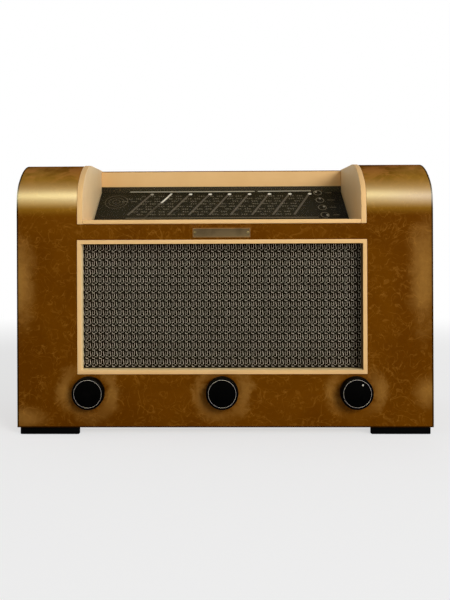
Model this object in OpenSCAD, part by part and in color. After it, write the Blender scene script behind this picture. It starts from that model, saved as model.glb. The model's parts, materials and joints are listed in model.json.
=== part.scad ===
// Table radio in a bent plywood cabinet with a sunken dial, a cloth grille and three knobs.
// X runs to the right, Y from the front to the rear, Z up, in millimetres.

/* [Cabinet] */
// Width of the cabinet
body_w = 540; // [500:5:600]
// Depth of the cabinet, front face to rear edge
body_d = 240; // [238:2:270]
// Thickness of the bent plywood that makes front and top
ply_t = 8; // [6:0.5:9]
// Thickness of the side panels
side_t = 10; // [8:0.5:14]
// Thickness of the bottom board
bottom_t = 10; // [8:0.5:12]
// Height over which the front bends into the top
curve_h = 49; // [46:1:54]
// Height below the bend over which the front already leans back a little
curve_lead = 21; // [10:1:30]
// Angle at which that lean ends and the bend begins
lead_angle = 6; // [2:0.5:8]
// Depth over which the front bends into the top
curve_d = 85; // [80:1:95]
// Radius of the tight lower part of the bend
curve_r = 34; // [28:1:38]
// Middle line of dial, grille and knobs, from the middle of the cabinet
layout_x = -3.3; // [-6:0.1:6]

/* [Feet] */
// Height of the feet
foot_h = 9.5; // [7:0.5:12]
// Width of each foot
foot_w = 78; // [60:1:90]
// Distance of the feet from the side faces
foot_side_gap = 3.5; // [2:0.5:10]
// Distance of the feet from the front and rear edges
foot_end_gap = 3; // [2:0.5:12]
// Chamfer on the lower inner edge of a foot
foot_chamfer = 2; // [1:0.5:5]
// Distance by which the inner end of a foot draws back behind its front face
foot_splay = 8.5; // [0:0.5:12]

/* [Dial recess] */
// Width of the recess between its cheeks
recess_w = 361.4; // [340:0.2:370]
// Thickness of a cheek, which shows as the trim on the bend
cheek_t = 6.9; // [5:0.1:8]
// How far the cream trim stands proud of the veneer
trim_proud = 0.8; // [0.4:0.1:1.5]
// Distance of the sill above the nameplate
sill_gap = 5.5; // [3:0.1:8]
// Thickness of the sill
sill_t = 5.4; // [4.5:0.1:6]
// Depth at which the dial glass starts behind the front face
dial_front = 85; // [82:1:90]
// Depth of the recess behind the front face
recess_d = 190; // [180:1:200]
// Rise of the dial glass from its front to its rear edge
dial_rise = 51.4; // [46:0.2:56]
// Height of the cabinet top above the top of the glass
recess_back_h = 24; // [20:0.5:30]
// Distance of the upper edge of the recess back wall below the cabinet top
recess_back_low = 1.5; // [0:0.5:5]
// Thickness of the recess back wall
recess_back_t = 6; // [4:0.5:8]
// Depth to which the recess back wall reaches below the top of the glass
recess_back_drop = 22; // [18:1:26]

/* [Dial] */
// Thickness of the dial glass
glass_t = 3; // [2:0.25:3.5]
// Distance from the glass surface down to the printed dial plate
plate_gap = 7.8; // [7.6:0.1:9]
// Thickness of the dial plate
plate_t = 1.5; // [1:0.1:2]
// Thickness of the pointer blade
pointer_t = 1; // [0.6:0.1:1.2]
// Width of the pointer blade
pointer_w = 2.4; // [1.6:0.1:4]
// Distance from the glass surface down to the pointer blade
pointer_gap = 5.6; // [5.4:0.1:6]
// Slant of the pointer and the dial lines
pointer_slant = 22; // [18:0.5:24]
// Number of slanted lines on the dial
line_count = 9; // [7:1:9]
// Distance between the slanted lines
line_pitch = 29.3; // [26:0.1:30]
// Middle of the row of slanted lines, from the middle of the cabinet
line_mid_x = -5.4; // [-8:0.1:2]
// Line at which the pointer stands, counted from 0 at the left
pointer_line = 1; // [0:1:6]
// Travel of the pointer past the first and last line
pointer_over = 3; // [1:0.5:4]

/* [Grille] */
// Width of the grille frame
grille_w = 376; // [350:1:380]
// Height of the grille frame
grille_h = 174.5; // [165:0.5:176]
// Height of the lower edge of the grille frame above the cabinet bottom
grille_z = 69; // [68.5:0.5:72]
// Width of the face of the grille frame
grille_band = 5.3; // [4.5:0.1:8]
// Wall of the grille frame inside the cabinet opening
grille_wall = 2.6; // [2:0.1:4]
// How far the grille frame stands proud of the veneer
grille_proud = 1.2; // [0.8:0.1:2]
// Depth of the cloth behind the front face
cloth_depth = 18; // [14:0.5:20]
// Thickness of the cloth
cloth_t = 1; // [0.6:0.1:1.4]
// Thickness of the baffle board
baffle_t = 9; // [7:0.5:10]
// How far the baffle board reaches past the grille frame
baffle_rim = 12; // [10:1:16]

/* [Nameplate] */
// Width of the nameplate
nameplate_w = 75; // [60:1:90]
// Height of the nameplate
nameplate_h = 12.6; // [10:0.2:14]
// Thickness of the nameplate
nameplate_t = 0.8; // [0.5:0.1:1.5]
// Distance of the nameplate above the grille frame
nameplate_gap = 2.6; // [2:0.1:8]
// Distance of the nameplate screws from its ends
nameplate_screw_in = 3; // [2.5:0.1:6]

/* [Knobs] */
// Height of the knob shafts above the cabinet bottom
knob_z = 46; // [42:0.1:46]
// Distance between neighbouring knobs
knob_pitch = 172.8; // [165:0.1:178]
// Radius of a knob
knob_r = 20.9; // [18:0.1:22]
// Depth of a knob
knob_d = 14; // [12:0.5:22]
// Radius of the silver line on a knob
ring_r = 18.2; // [15:0.1:19.4]
// Thickness of the felt washer behind a knob
felt_t = 1.5; // [1:0.1:2]
// Radius of the control shafts
shaft_r = 3; // [2.5:0.1:3.2]
// Distance of the white dot from the middle of the selector knob
dot_in = 13; // [9:0.1:14]
// Angle of the white dot, clockwise from the top
dot_angle = 32; // [0:1:60]

/* [Tuning drive] */
// Depth of the plane of the drive cord behind the front face
cord_depth = 60; // [58:0.5:62]
// Radius of the drive cord
cord_r = 0.5; // [0.4:0.05:0.6]
// Radius on which the cord runs round the tuning spindle
spindle_cord_r = 4; // [4:0.1:5]
// Radius on which the cord runs round the guide pulleys
pulley_cord_r = 8; // [7:0.5:9]
// Distance of the outer pulleys from the middle line
pulley_x = 190; // [188:1:194]
// Distance of the middle of the outer pulleys below the sill
pulley_drop = 25.7; // [24.5:0.1:28]
// Radius of the pulley pins
pulley_pin_r = 1.5; // [1.2:0.1:1.8]
// Height of the gang shaft above the chassis plate
gang_shaft_up = 42; // [40:1:46]
// Radius of the gang shaft
gang_shaft_r = 4; // [3:0.5:5]
// Depth of the pointer rail behind the front face
rail_depth = 72; // [70:0.5:74]
// Radius of the pointer rail
rail_r = 2; // [1.5:0.1:2.5]

/* [Loudspeaker] */
// Distance of the loudspeaker from the middle line of the grille, to the left
speaker_x = 95; // [90:1:105]
// Outer radius of the loudspeaker basket
basket_r = 75; // [70:1:76]
// Depth of the loudspeaker basket
basket_d = 56; // [50:1:60]
// Radius of the cone at its rim
cone_r = 61; // [55:0.5:62]
// Radius of the magnet
magnet_r = 30; // [26:1:36]
// Depth of the magnet
magnet_d = 28; // [24:1:34]
// Radius of the voice coil
coil_r = 13; // [11:0.5:14]

/* [Chassis] */
// Distance of the chassis from the side panels
chassis_side_gap = 45; // [40:1:50]
// Depth of the chassis front wall behind the front face
chassis_front = 70; // [70:1:72]
// Distance of the chassis rear wall from the rear edge of the cabinet
chassis_rear_gap = 25; // [22:1:30]
// Height of the chassis
chassis_h = 60; // [55:1:62]
// Thickness of the chassis sheet
sheet_t = 1.5; // [1:0.1:2]
// Radius of the chassis bolts
bolt_r = 2.5; // [2:0.1:3]
// Distance of the chassis bolts from the inner side of the feet
bolt_gap = 18.5; // [8:0.5:24]
// Length of the mains transformer core along the front
mains_core_w = 70; // [50:1:76]
// Thickness of the mains transformer core
mains_core_d = 52; // [36:1:56]
// Height of the mains transformer core
mains_core_h = 66; // [50:1:76]
// Length of the output transformer core along the front
output_core_w = 46; // [36:1:50]
// Thickness of the output transformer core
output_core_d = 30; // [20:1:32]
// Height of the output transformer core
output_core_h = 40; // [30:1:50]
// Distance that a winding stands out of its core
winding_out = 8; // [4:0.5:10]
// Radius of the smoothing capacitor
capacitor_r = 17; // [12:0.5:18]
// Height of the smoothing capacitor
capacitor_h = 42; // [30:1:50]
// Side of the square cans
can_w = 32; // [26:1:33]
// Height of the square cans
can_h = 88; // [60:1:95]

/* [Tubes] */
// Radius of a tube bulb
tube_r = 19; // [15:0.5:22]
// Height of a tube bulb above its base
tube_h = 78; // [60:1:85]
// Radius of a tube base
tube_base_r = 16; // [12:0.5:17]
// Height of a tube base
tube_base_h = 22; // [16:1:26]
// Thickness of a tube socket
socket_t = 5; // [3:0.5:8]

/* [Rear connections] */
// Radius of the bores of the aerial, earth and pickup sockets
socket_bore_r = 2; // [1.5:0.1:2.5]
// Depth of those bores
socket_bore_d = 12; // [8:0.5:14]
// Distance between the two bores of a socket strip
socket_pitch = 19; // [14:0.5:24]
// Radius of the pins of the mains inlet
inlet_pin_r = 2; // [1.5:0.1:2.5]
// Length of the pins of the mains inlet
inlet_pin_d = 12; // [8:0.5:14]
// Thickness of the back cover
cover_t = 4; // [3:0.5:6]
// Distance of the back cover from the rear edge of the cabinet
cover_in = 4; // [3:0.5:8]

/* [Hidden] */
$fn = 64;

// Clearances between pieces
fit = 0.3;
run = 0.05;
eps = 0.01;
far = 2000;

// Front of the cabinet, so that the origin lies midway between knob faces and rear edge
knob_out = felt_t + knob_d;
front_y = (knob_out - body_d) / 2;
rear_y = front_y + body_d;
inner_w = body_w - 2 * side_t;
floor_z = foot_h + bottom_t;
nameplate_z = grille_z + grille_h + nameplate_gap + nameplate_h / 2;
sill_z = nameplate_z + nameplate_h / 2 + sill_gap;
sill_top = sill_z + sill_t;
glass_top = sill_top + dial_rise;
body_h = glass_top + recess_back_h;
body_top = foot_h + body_h;

// Three arcs, each tangent to the next: the lean, the tight lower part and the part up to the top
lead_r = curve_lead / sin(lead_angle);
lead_c = [lead_r, body_h - curve_h - curve_lead];
lead_way = [-cos(lead_angle), sin(lead_angle)];
small_c = lead_c + (lead_r - curve_r) * lead_way;
curve_rise = body_h - small_c[1];
curve_big_r = (pow(curve_d - small_c[0], 2) + pow(curve_rise, 2) - pow(curve_r, 2))
    / (2 * (curve_rise - curve_r));
big_c = [curve_d, body_h - curve_big_r];
arc_way = (small_c - big_c) / norm(small_c - big_c);

// Dial recess and the slope of the dial
trim_w = recess_w + 2 * cheek_t;
dial_run = recess_d - dial_front;
dial_slope = atan2(dial_rise, dial_run);
dial_len = norm([dial_run, dial_rise]);

// Pointer travel and the drive that follows from it
line_span = line_pitch * (line_count - 1);
pointer_travel = line_span + 2 * pointer_over;
drum_cord_r = pointer_travel / PI;
pointer_left = pointer_line * line_pitch + pointer_over;
rotor_turn = pointer_left / drum_cord_r * 180 / PI;
line_low = 28.9;
line_high = 102.9;
line_mid = (line_low + line_high) / 2;
pointer_x = line_mid_x - line_span / 2 + pointer_line * line_pitch;
pointer_end = line_high + 2;
carriage_at = -25.5;
carriage_x = pointer_x + (carriage_at - line_mid) * tan(pointer_slant);
carriage_w = 16;

// Heights and places of the drive
knob_up = foot_h + knob_z;
pulley_up = foot_h + sill_z - pulley_drop;
pulley_flange_r = pulley_cord_r + 1.5;
pulley_w = 5;
cord_y = front_y + cord_depth;
rail_up = pulley_up + pulley_cord_r;
rail_y = front_y + rail_depth;
chassis_top = floor_z + chassis_h;
gang_up = chassis_top + gang_shaft_up;
gang_x = layout_x + pulley_x + pulley_cord_r - drum_cord_r;
guide_x = layout_x - spindle_cord_r - pulley_cord_r;
guide_up = pulley_up - 2 * pulley_cord_r;
frame_t = 2;
frame_gap = 12;
frame_y = cord_y - frame_gap;
frame_half = pulley_x + pulley_flange_r + 2.5;

// Lower tangent from the spindle to the drum
drive_span = [gang_x - layout_x, gang_up - knob_up];
drive_turn = atan2(drive_span[1], drive_span[0])
    - acos(-(drum_cord_r - spindle_cord_r) / norm(drive_span));

// Chassis and what stands on it, placed from the chassis middle and from its front wall
chassis_w = inner_w - 2 * chassis_side_gap;
chassis_y = front_y + chassis_front;
chassis_rear = rear_y - chassis_rear_gap;
tube_spots = [[-100, 110], [-50, 95], [-10, 55], [40, 105], [45, 45]];
can_spots = [[-5, 112], [85, 115]];
capacitor_spot = [-112, 36];
mains_core_end_gap = 4;
mains_core_spot = [mains_core_end_gap + (mains_core_w - chassis_w) / 2, 92];
output_core_end_gap = 14;
output_core_spot = [(chassis_w - output_core_w) / 2 - output_core_end_gap, 108];
anode_r = 9;

// Loudspeaker axis and the layers behind the grille
baffle_y = front_y + cloth_depth + cloth_t;
basket_y = baffle_y + baffle_t;
speaker_cx = layout_x - speaker_x;
speaker_up = foot_h + grille_z + grille_h / 2;
magnet_y = basket_y + basket_d;
cone_travel = 1.5;

// Rear connections
strip_w = 44;
strip_h = 22;
strip_up = 30;
connect_up = floor_z + strip_up;
shroud_t = 3;
aerial_end_gap = 65;
pickup_pitch = 70;
inlet_end_gap = 55;
aerial_x = chassis_w / 2 - aerial_end_gap;
pickup_x = aerial_x - pickup_pitch;
inlet_x = inlet_end_gap - chassis_w / 2;
cover_y = rear_y - cover_in - cover_t;
batten_w = 14;

// Colours as the photograph shows them
veneer = [0.37, 0.2, 0.03];
cream = [0.88, 0.71, 0.48];
black = [0.06, 0.06, 0.06];
steel = [0.62, 0.63, 0.64];
brass = [0.75, 0.6, 0.3];
wood = [0.68, 0.52, 0.33];
board = [0.42, 0.3, 0.18];

// A drawing of depth and height, stretched along X
module across(x0, x1) {
    translate([x0, front_y, foot_h])
        rotate([90, 0, 90])
            linear_extrude(x1 - x0) children();
}

// A drawing of X and Z, stretched along Y
module through(y0, y1) {
    translate([0, y1, 0])
        rotate([90, 0, 0])
            linear_extrude(y1 - y0) children();
}

// A round piece whose axis runs from front to rear, drawn as radius and depth
module turned(x, y, z) {
    translate([x, y, z])
        rotate([-90, 0, 0])
            rotate_extrude() children();
}

// A round rod from front to rear
module rod(x, y0, y1, z, r) {
    translate([x, y0, z])
        rotate([-90, 0, 0])
            cylinder(h = y1 - y0, r = r);
}

// A block between two corners
module block(a, b) {
    translate(a) cube(b - a);
}

// Places children in the plane of the dial: X across, Y up the slope, Z out of the glass
module on_dial() {
    translate([0, front_y + dial_front, foot_h + sill_top])
        rotate([dial_slope, 0, 0]) children();
}

// Both sides of the middle line
module both_sides(x = 0) {
    for (side = [-1, 1]) translate([x, 0, 0]) scale_side(side) children();
}

module scale_side(side) {
    if (side < 0) mirror([1, 0, 0]) children();
    else children();
}

// Side view of the cabinet, drawn in by an inset
module profile(inset, low, rear) {
    reach = 2 * curve_big_r;
    translate([inset, low]) square([rear - inset, lead_c[1] - low]);
    translate([curve_d, low]) square([rear - curve_d, body_h - inset - low]);
    intersection() {
        translate(lead_c) circle(lead_r - inset, $fn = 720);
        translate(lead_c) polygon([[0, 0], [-2 * lead_r, -eps], 2 * lead_r * lead_way]);
    }
    intersection() {
        translate(small_c) circle(curve_r - inset);
        translate(small_c) polygon([[0, 0], reach * [lead_way[0], lead_way[1] - eps],
            reach * lead_way, [-reach, reach], reach * arc_way,
            reach * [arc_way[0] + eps, arc_way[1]]]);
    }
    intersection() {
        translate(big_c) circle(curve_big_r - inset, $fn = 160);
        translate(big_c) polygon([[0, 0], reach * arc_way, [0, reach]]);
    }
}

module grille_outline(grow) {
    translate([layout_x, foot_h + grille_z + grille_h / 2])
        square([grille_w + 2 * grow, grille_h + 2 * grow], center = true);
}

module front_wrap() {
    color(veneer) difference() {
        across(-body_w / 2, body_w / 2) difference() {
            profile(0, 0, body_d);
            profile(ply_t, -1, body_d + 1);
        }
        through(front_y - 1, front_y + ply_t + 1)
            grille_outline(grille_wall + fit - grille_band);
        block([layout_x - trim_w / 2 - fit, front_y - 1, foot_h + sill_z - fit],
            [layout_x + trim_w / 2 + fit, front_y + recess_d + recess_back_t + fit, body_top + 1]);
        for (i = [-1:1])
            rod(layout_x + i * knob_pitch, front_y - 1, front_y + ply_t + 1, knob_up,
                shaft_r + 2.5);
    }
}

module side_panel() {
    across(inner_w / 2, body_w / 2) profile(ply_t, 0, body_d);
}

module left_side_panel() {
    color(veneer) mirror([1, 0, 0]) side_panel();
}

module right_side_panel() {
    color(veneer) side_panel();
}

foot_screw_in = 40;
foot_screw_y = [front_y + foot_screw_in, rear_y - foot_screw_in];
foot_x = body_w / 2 - foot_side_gap - foot_w / 2;
foot_screw_r = 2;
foot_screw_head_r = 4.6;
foot_screw_head_t = 2;
foot_screw_sunk = 1;
foot_splay_d = 50;
bolt_x = foot_x - foot_w / 2 - bolt_gap;
chassis_flange = chassis_w / 2 - bolt_x + 6 * bolt_r;
bolt_end_gap = 12;
bolt_ys = [chassis_y + bolt_end_gap, chassis_rear - bolt_end_gap];
screw_sink = 6;

module bottom_board() {
    color(wood) difference() {
        block([-inner_w / 2, front_y + ply_t, foot_h], [inner_w / 2, rear_y, floor_z]);
        for (side = [-1, 1], y = foot_screw_y)
            translate([side * foot_x, y, foot_h - 1])
                cylinder(h = 1 + screw_sink, r = foot_screw_r);
        for (side = [-1, 1], y = bolt_ys)
            translate([side * bolt_x, y, foot_h - 1])
                cylinder(h = bottom_t + 2, r = bolt_r + 0.2);
    }
}

cover_screw_r = 1.5;
cover_screw_len = 9;
cover_screw_head_r = 3.6;
cover_screw_head_t = 2;

// Blocks glued into the cabinet: rear battens, front corner strips and baffle battens
module glue_blocks() {
    batten_top = body_top - ply_t;
    batten_x = grille_w / 2 - grille_band + grille_wall + fit;
    color(wood) {
        both_sides() difference() {
            block([inner_w / 2 - batten_w, cover_y - batten_w, floor_z],
                [inner_w / 2, cover_y, batten_top]);
            for (z = cover_screw_z)
                rod(inner_w / 2 - batten_w / 2, cover_y - cover_screw_len, cover_y + 1, z,
                    cover_screw_r);
        }
        both_sides()
            block([inner_w / 2 - batten_w, front_y + ply_t, floor_z],
                [inner_w / 2, front_y + ply_t + batten_w, foot_h + lead_c[1]]);
        both_sides(layout_x)
            block([batten_x, front_y + ply_t, foot_h + grille_z],
                [batten_x + baffle_rim, baffle_y, foot_h + grille_z + grille_h]);
    }
}

module foot() {
    x0 = foot_x - foot_w / 2;
    x1 = foot_x + foot_w / 2;
    difference() {
        through(front_y + foot_end_gap, rear_y - foot_end_gap)
            polygon([
                [x0, foot_h], [x0, foot_chamfer], [x0 + foot_chamfer, 0],
                [x1 - foot_chamfer / 2, 0], [x1, foot_chamfer / 2], [x1, foot_h]
            ]);
        translate([0, 0, -1]) linear_extrude(foot_h + 2)
            polygon([
                [x0 - 1, front_y], [x0, front_y + foot_end_gap],
                [x0 + foot_splay, front_y + foot_splay_d], [x0 + foot_splay, rear_y], [x0 - 1, rear_y]
            ]);
        for (y = foot_screw_y) translate([foot_x, y, -1]) {
            cylinder(h = foot_h + 2, r = foot_screw_r);
            cylinder(h = 1 + foot_screw_sunk + foot_screw_head_t, r = foot_screw_head_r + 0.4);
        }
    }
}

module left_foot() {
    color(black) mirror([1, 0, 0]) foot();
}

module right_foot() {
    color(black) foot();
}

module foot_screws() {
    head_top = foot_screw_sunk + foot_screw_head_t;
    color(steel) for (side = [-1, 1], y = foot_screw_y) translate([side * foot_x, y, 0]) {
        translate([0, 0, foot_screw_sunk])
            cylinder(h = foot_screw_head_t, r = foot_screw_head_r);
        translate([0, 0, head_top])
            cylinder(h = foot_h + screw_sink - head_top, r = foot_screw_r);
    }
}

module cheek() {
    across(recess_w / 2, trim_w / 2) intersection() {
        profile(-trim_proud, 0, body_d);
        translate([-trim_proud, sill_z])
            square([recess_d + recess_back_t + trim_proud, body_h]);
    }
}

module left_cheek() {
    color(cream) translate([layout_x, 0, 0]) mirror([1, 0, 0]) cheek();
}

module right_cheek() {
    color(cream) translate([layout_x, 0, 0]) cheek();
}

module dial_sill() {
    color(cream) block([layout_x - recess_w / 2, front_y - trim_proud, foot_h + sill_z],
        [layout_x + recess_w / 2, front_y + dial_front - fit, foot_h + sill_top]);
}

module recess_back() {
    color(cream) block(
        [layout_x - recess_w / 2, front_y + recess_d, foot_h + glass_top - recess_back_drop],
        [layout_x + recess_w / 2, front_y + recess_d + recess_back_t, body_top - recess_back_low]);
}

// Sheet in the slope of the dial whose rear end stands upright against the back wall
module dial_sheet(x0, x1, front, top, thick) {
    s0 = dial_len - fit - top * tan(dial_slope);
    s1 = dial_len - fit - (top + thick) * tan(dial_slope);
    on_dial() translate([x0, 0, 0]) rotate([90, 0, 90]) linear_extrude(x1 - x0)
        polygon([[front, -top], [front, -top - thick], [s1, -top - thick], [s0, -top]]);
}

module dial_glass() {
    color([0.5, 0.55, 0.5, 0.4])
        dial_sheet(layout_x - recess_w / 2 + fit, layout_x + recess_w / 2 - fit, 0, 0, glass_t);
}

// The plate starts behind the way in of the pointer blade
plate_front = 6;

module dial_plate() {
    color(black) dial_sheet(layout_x - recess_w / 2, layout_x + recess_w / 2, plate_front,
        plate_gap, plate_t);
}

frame_low = guide_up - 6;
frame_high = rail_up + 6;

module pulley_pin(x, z) {
    hub = (pulley_w + 2 * fit) / 2;
    rod(x, frame_y + frame_t, cord_y + hub + 2, z, pulley_pin_r);
    rod(x, frame_y + frame_t, cord_y - hub, z, pulley_pin_r + 1.5);
    rod(x, cord_y + hub, cord_y + hub + 1.2, z, pulley_pin_r + 1);
}

// Bar across the set with its two posts, the pulley pins and the lugs for the pointer rail
module dial_frame() {
    color(steel) union() {
        block([layout_x - frame_half, frame_y, frame_low],
            [layout_x + frame_half, frame_y + frame_t, frame_high]);
        both_sides(layout_x) {
            block([frame_half, frame_y, floor_z + chassis_h / 3],
                [frame_half + frame_t, chassis_y, frame_high]);
            block([frame_half, frame_y, frame_low],
                [frame_half + frame_t, rail_y + rail_r + 4, frame_high]);
        }
        pulley_pin(layout_x - pulley_x, pulley_up);
        pulley_pin(layout_x + pulley_x, pulley_up);
        pulley_pin(guide_x, guide_up);
    }
}

lamp_x = 150;
lamp_r = 5;
lamp_at = 40;
lamp_cup = 10;
lamp_cup_floor = 4;
lamp_neck = 5;

module lamp_holders() {
    color(brass) for (side = [-1, 1]) translate([layout_x, 0, 0]) on_dial()
        translate([side * lamp_x, lamp_at, -plate_gap - plate_t - lamp_cup]) difference() {
            cylinder(h = lamp_cup, r = lamp_r + 1);
            translate([0, 0, -1]) cylinder(h = 1 + lamp_cup - lamp_cup_floor, r = lamp_r);
        }
}

module dial_lamps() {
    color([0.95, 0.9, 0.7]) for (side = [-1, 1]) translate([layout_x, 0, 0]) on_dial()
        translate([side * lamp_x, lamp_at, -plate_gap - plate_t - lamp_cup_floor]) {
            translate([0, 0, -lamp_neck]) cylinder(h = lamp_neck, r = lamp_r - fit);
            translate([0, 0, -lamp_neck - lamp_r * 0.6]) sphere(r = lamp_r);
        }
}

module pointer_rail() {
    color(steel) translate([layout_x - frame_half, rail_y, rail_up])
        rotate([0, 90, 0]) cylinder(h = 2 * frame_half, r = rail_r);
}

// Slanted blade with the carriage that slides on the rail and carries the cord
module dial_pointer() {
    blade = (pointer_end - carriage_at) / cos(pointer_slant);
    color(cream) difference() {
        union() {
            on_dial()
                translate([pointer_x, line_mid, -pointer_gap - pointer_t])
                    rotate([0, 0, -pointer_slant])
                        translate([-pointer_w / 2, (carriage_at - line_mid) / cos(pointer_slant), 0])
                            cube([pointer_w, blade, pointer_t]);
            block([carriage_x - carriage_w / 2, cord_y - 2.5, rail_up - rail_r - 2.5],
                [carriage_x + carriage_w / 2, rail_y + rail_r + 2.5, rail_up + 6.5]);
        }
        translate([carriage_x - carriage_w, rail_y, rail_up])
            rotate([0, 90, 0]) cylinder(h = 2 * carriage_w, r = rail_r + run);
        translate([carriage_x - carriage_w, cord_y, rail_up])
            rotate([0, 90, 0]) cylinder(h = 2 * carriage_w, r = cord_r + fit);
    }
}

module pulley(x, z) {
    groove_r = pulley_cord_r - cord_r - fit;
    color(brass) turned(x, cord_y - pulley_w / 2, z) polygon([
        [pulley_pin_r + run, 0], [pulley_flange_r, 0], [pulley_flange_r, 0.8],
        [groove_r, 1.6], [groove_r, pulley_w - 1.6], [pulley_flange_r, pulley_w - 0.8],
        [pulley_flange_r, pulley_w], [pulley_pin_r + run, pulley_w]
    ]);
}

module left_pulley() {
    pulley(layout_x - pulley_x, pulley_up);
}

module right_pulley() {
    pulley(layout_x + pulley_x, pulley_up);
}

module guide_pulley() {
    pulley(guide_x, guide_up);
}

// Points of the cord along one arc, from angle a0 to a1 in n steps
function cord_arc(c, r, a0, a1, n) = [
    for (i = [0:n]) let (a = a0 + (a1 - a0) * i / n) c + r * [cos(a), sin(a)]
];

// Closed loop of the cord: drum, spindle, guide pulley, left pulley, right pulley
cord_path = concat(
    cord_arc([gang_x, gang_up], drum_cord_r, 0, drive_turn, 16),
    cord_arc([layout_x, knob_up], spindle_cord_r, drive_turn, -180, 6),
    cord_arc([guide_x, guide_up], pulley_cord_r, 0, 90, 6),
    cord_arc([layout_x - pulley_x, pulley_up], pulley_cord_r, -90, -270, 10),
    cord_arc([layout_x + pulley_x, pulley_up], pulley_cord_r, 90, 0, 6)
);

function unit(v) = v / norm(v);

// Closed tube of k sides round a path in the plane of the cord
module cord_tube(path, r, k) {
    n = len(path);
    points = [
        for (i = [0:n - 1])
            let (way = unit(path[(i + 1) % n] - path[(i + n - 1) % n]))
            for (j = [0:k - 1])
                let (a = 360 * j / k, side = [-way[1], way[0]] * r * cos(a))
                [path[i][0] + side[0], cord_y + r * sin(a), path[i][1] + side[1]]
    ];
    faces = [
        for (i = [0:n - 1], j = [0:k - 1])
            let (a = i * k, b = ((i + 1) % n) * k, m = (j + 1) % k)
            each [[a + j, a + m, b + m], [a + j, b + m, b + j]]
    ];
    polyhedron(points, faces);
}

module drive_cord() {
    color([0.75, 0.72, 0.6]) cord_tube(cord_path, cord_r, 8);
}

drum_w = 6;
drum_hub_r = 12;
drum_cut_half = 14;
drum_cut = [24, 58];

module drive_drum() {
    flange_r = drum_cord_r + 1.5;
    groove_r = drum_cord_r - cord_r - fit;
    color(steel) difference() {
        turned(gang_x, cord_y - drum_w / 2, gang_up) polygon([
            [gang_shaft_r + run, 0], [drum_hub_r, 0], [drum_hub_r, 2], [groove_r - 6, 2],
            [groove_r - 6, 0], [flange_r, 0], [flange_r, 0.8], [groove_r, 2],
            [groove_r, 4], [flange_r, drum_w - 0.8], [flange_r, drum_w], [groove_r - 6, drum_w],
            [groove_r - 6, 4], [drum_hub_r, 4], [drum_hub_r, drum_w],
            [gang_shaft_r + run, drum_w]
        ]);
        for (a = [45:90:315])
            translate([gang_x, 0, gang_up])
                rotate([0, a, 0])
                    block([-drum_cut_half, cord_y - drum_w, drum_cut[0]],
                        [drum_cut_half, cord_y + drum_w, drum_cut[1]]);
    }
}

gang_front = chassis_y + 6;
gang_len = 70;
gang_w = 76;
gang_base = 3;
plate_r = 27;
plate_pitch = 3.4;
plate_count = 8;
plate_sheet = 0.8;
gang_stack_in = 14;
gang_stack = gang_front + gang_stack_in;

module gang_frame() {
    half = gang_w / 2;
    color(steel) difference() {
        union() {
            block([gang_x - half, gang_front, chassis_top],
                [gang_x + half, gang_front + gang_len, chassis_top + gang_base]);
            block([gang_x - half, gang_front, chassis_top],
                [gang_x + half, gang_front + gang_base, gang_up + half]);
            block([gang_x - half, gang_front + gang_len - gang_base, chassis_top],
                [gang_x + half, gang_front + gang_len, gang_up + half]);
        }
        rod(gang_x, gang_front - 1, gang_front + gang_len + 1, gang_up, gang_shaft_r + run);
    }
}

module gang_stator() {
    x0 = gang_x - gang_w / 2 + 2;
    color([0.8, 0.8, 0.78]) union() {
        for (i = [0:plate_count]) difference() {
            block([x0, gang_stack + (i - 0.5) * plate_pitch, gang_up - plate_r],
                [gang_x - gang_shaft_r - 2, gang_stack + (i - 0.5) * plate_pitch + plate_sheet,
                    gang_up + plate_r]);
        }
        for (z = [-1, 1])
            block([x0, gang_front + gang_base, gang_up + z * (plate_r - 4) - 2],
                [x0 + 4, gang_front + gang_len - gang_base, gang_up + z * (plate_r - 4) + 2]);
    }
}

module gang_rotor() {
    color([0.85, 0.85, 0.82]) union() {
        rod(gang_x, cord_y - drum_w / 2 - 2, gang_front + gang_len + 4, gang_up, gang_shaft_r);
        for (i = [0:plate_count - 1])
            translate([gang_x, 0, gang_up]) rotate([0, rotor_turn, 0])
                through(gang_stack + i * plate_pitch, gang_stack + i * plate_pitch + plate_sheet)
                    intersection() {
                        circle(plate_r - 2);
                        translate([-plate_r, -plate_r]) square([plate_r, 2 * plate_r]);
                    }
    }
}

module grille_frame() {
    color(cream) difference() {
        union() {
            through(front_y - grille_proud, front_y) grille_outline(0);
            through(front_y - eps, front_y + cloth_depth)
                grille_outline(grille_wall - grille_band);
        }
        through(front_y - grille_proud - 1, front_y + cloth_depth + 1)
            grille_outline(-grille_band);
    }
}

module grille_cloth() {
    color([0.36, 0.32, 0.26]) through(front_y + cloth_depth, baffle_y)
        grille_outline(grille_wall - grille_band);
}

bolt_ring = basket_r - 5;
speaker_bolt_r = 2;
speaker_bolt_sink = baffle_t - 2;
speaker_bolt_head_t = 2.5;

module baffle_board() {
    color(board) difference() {
        through(baffle_y, basket_y) grille_outline(baffle_rim - grille_band);
        rod(speaker_cx, baffle_y - 1, basket_y + 1, speaker_up, cone_r + 1);
        for (a = [45:90:315])
            rod(speaker_cx + bolt_ring * cos(a), basket_y - speaker_bolt_sink, basket_y + 1,
                speaker_up + bolt_ring * sin(a), speaker_bolt_r);
    }
}

basket_t = 1.5;
basket_back_r = 24;
basket_slot_half = 11;
basket_slot_in = 12;

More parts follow.
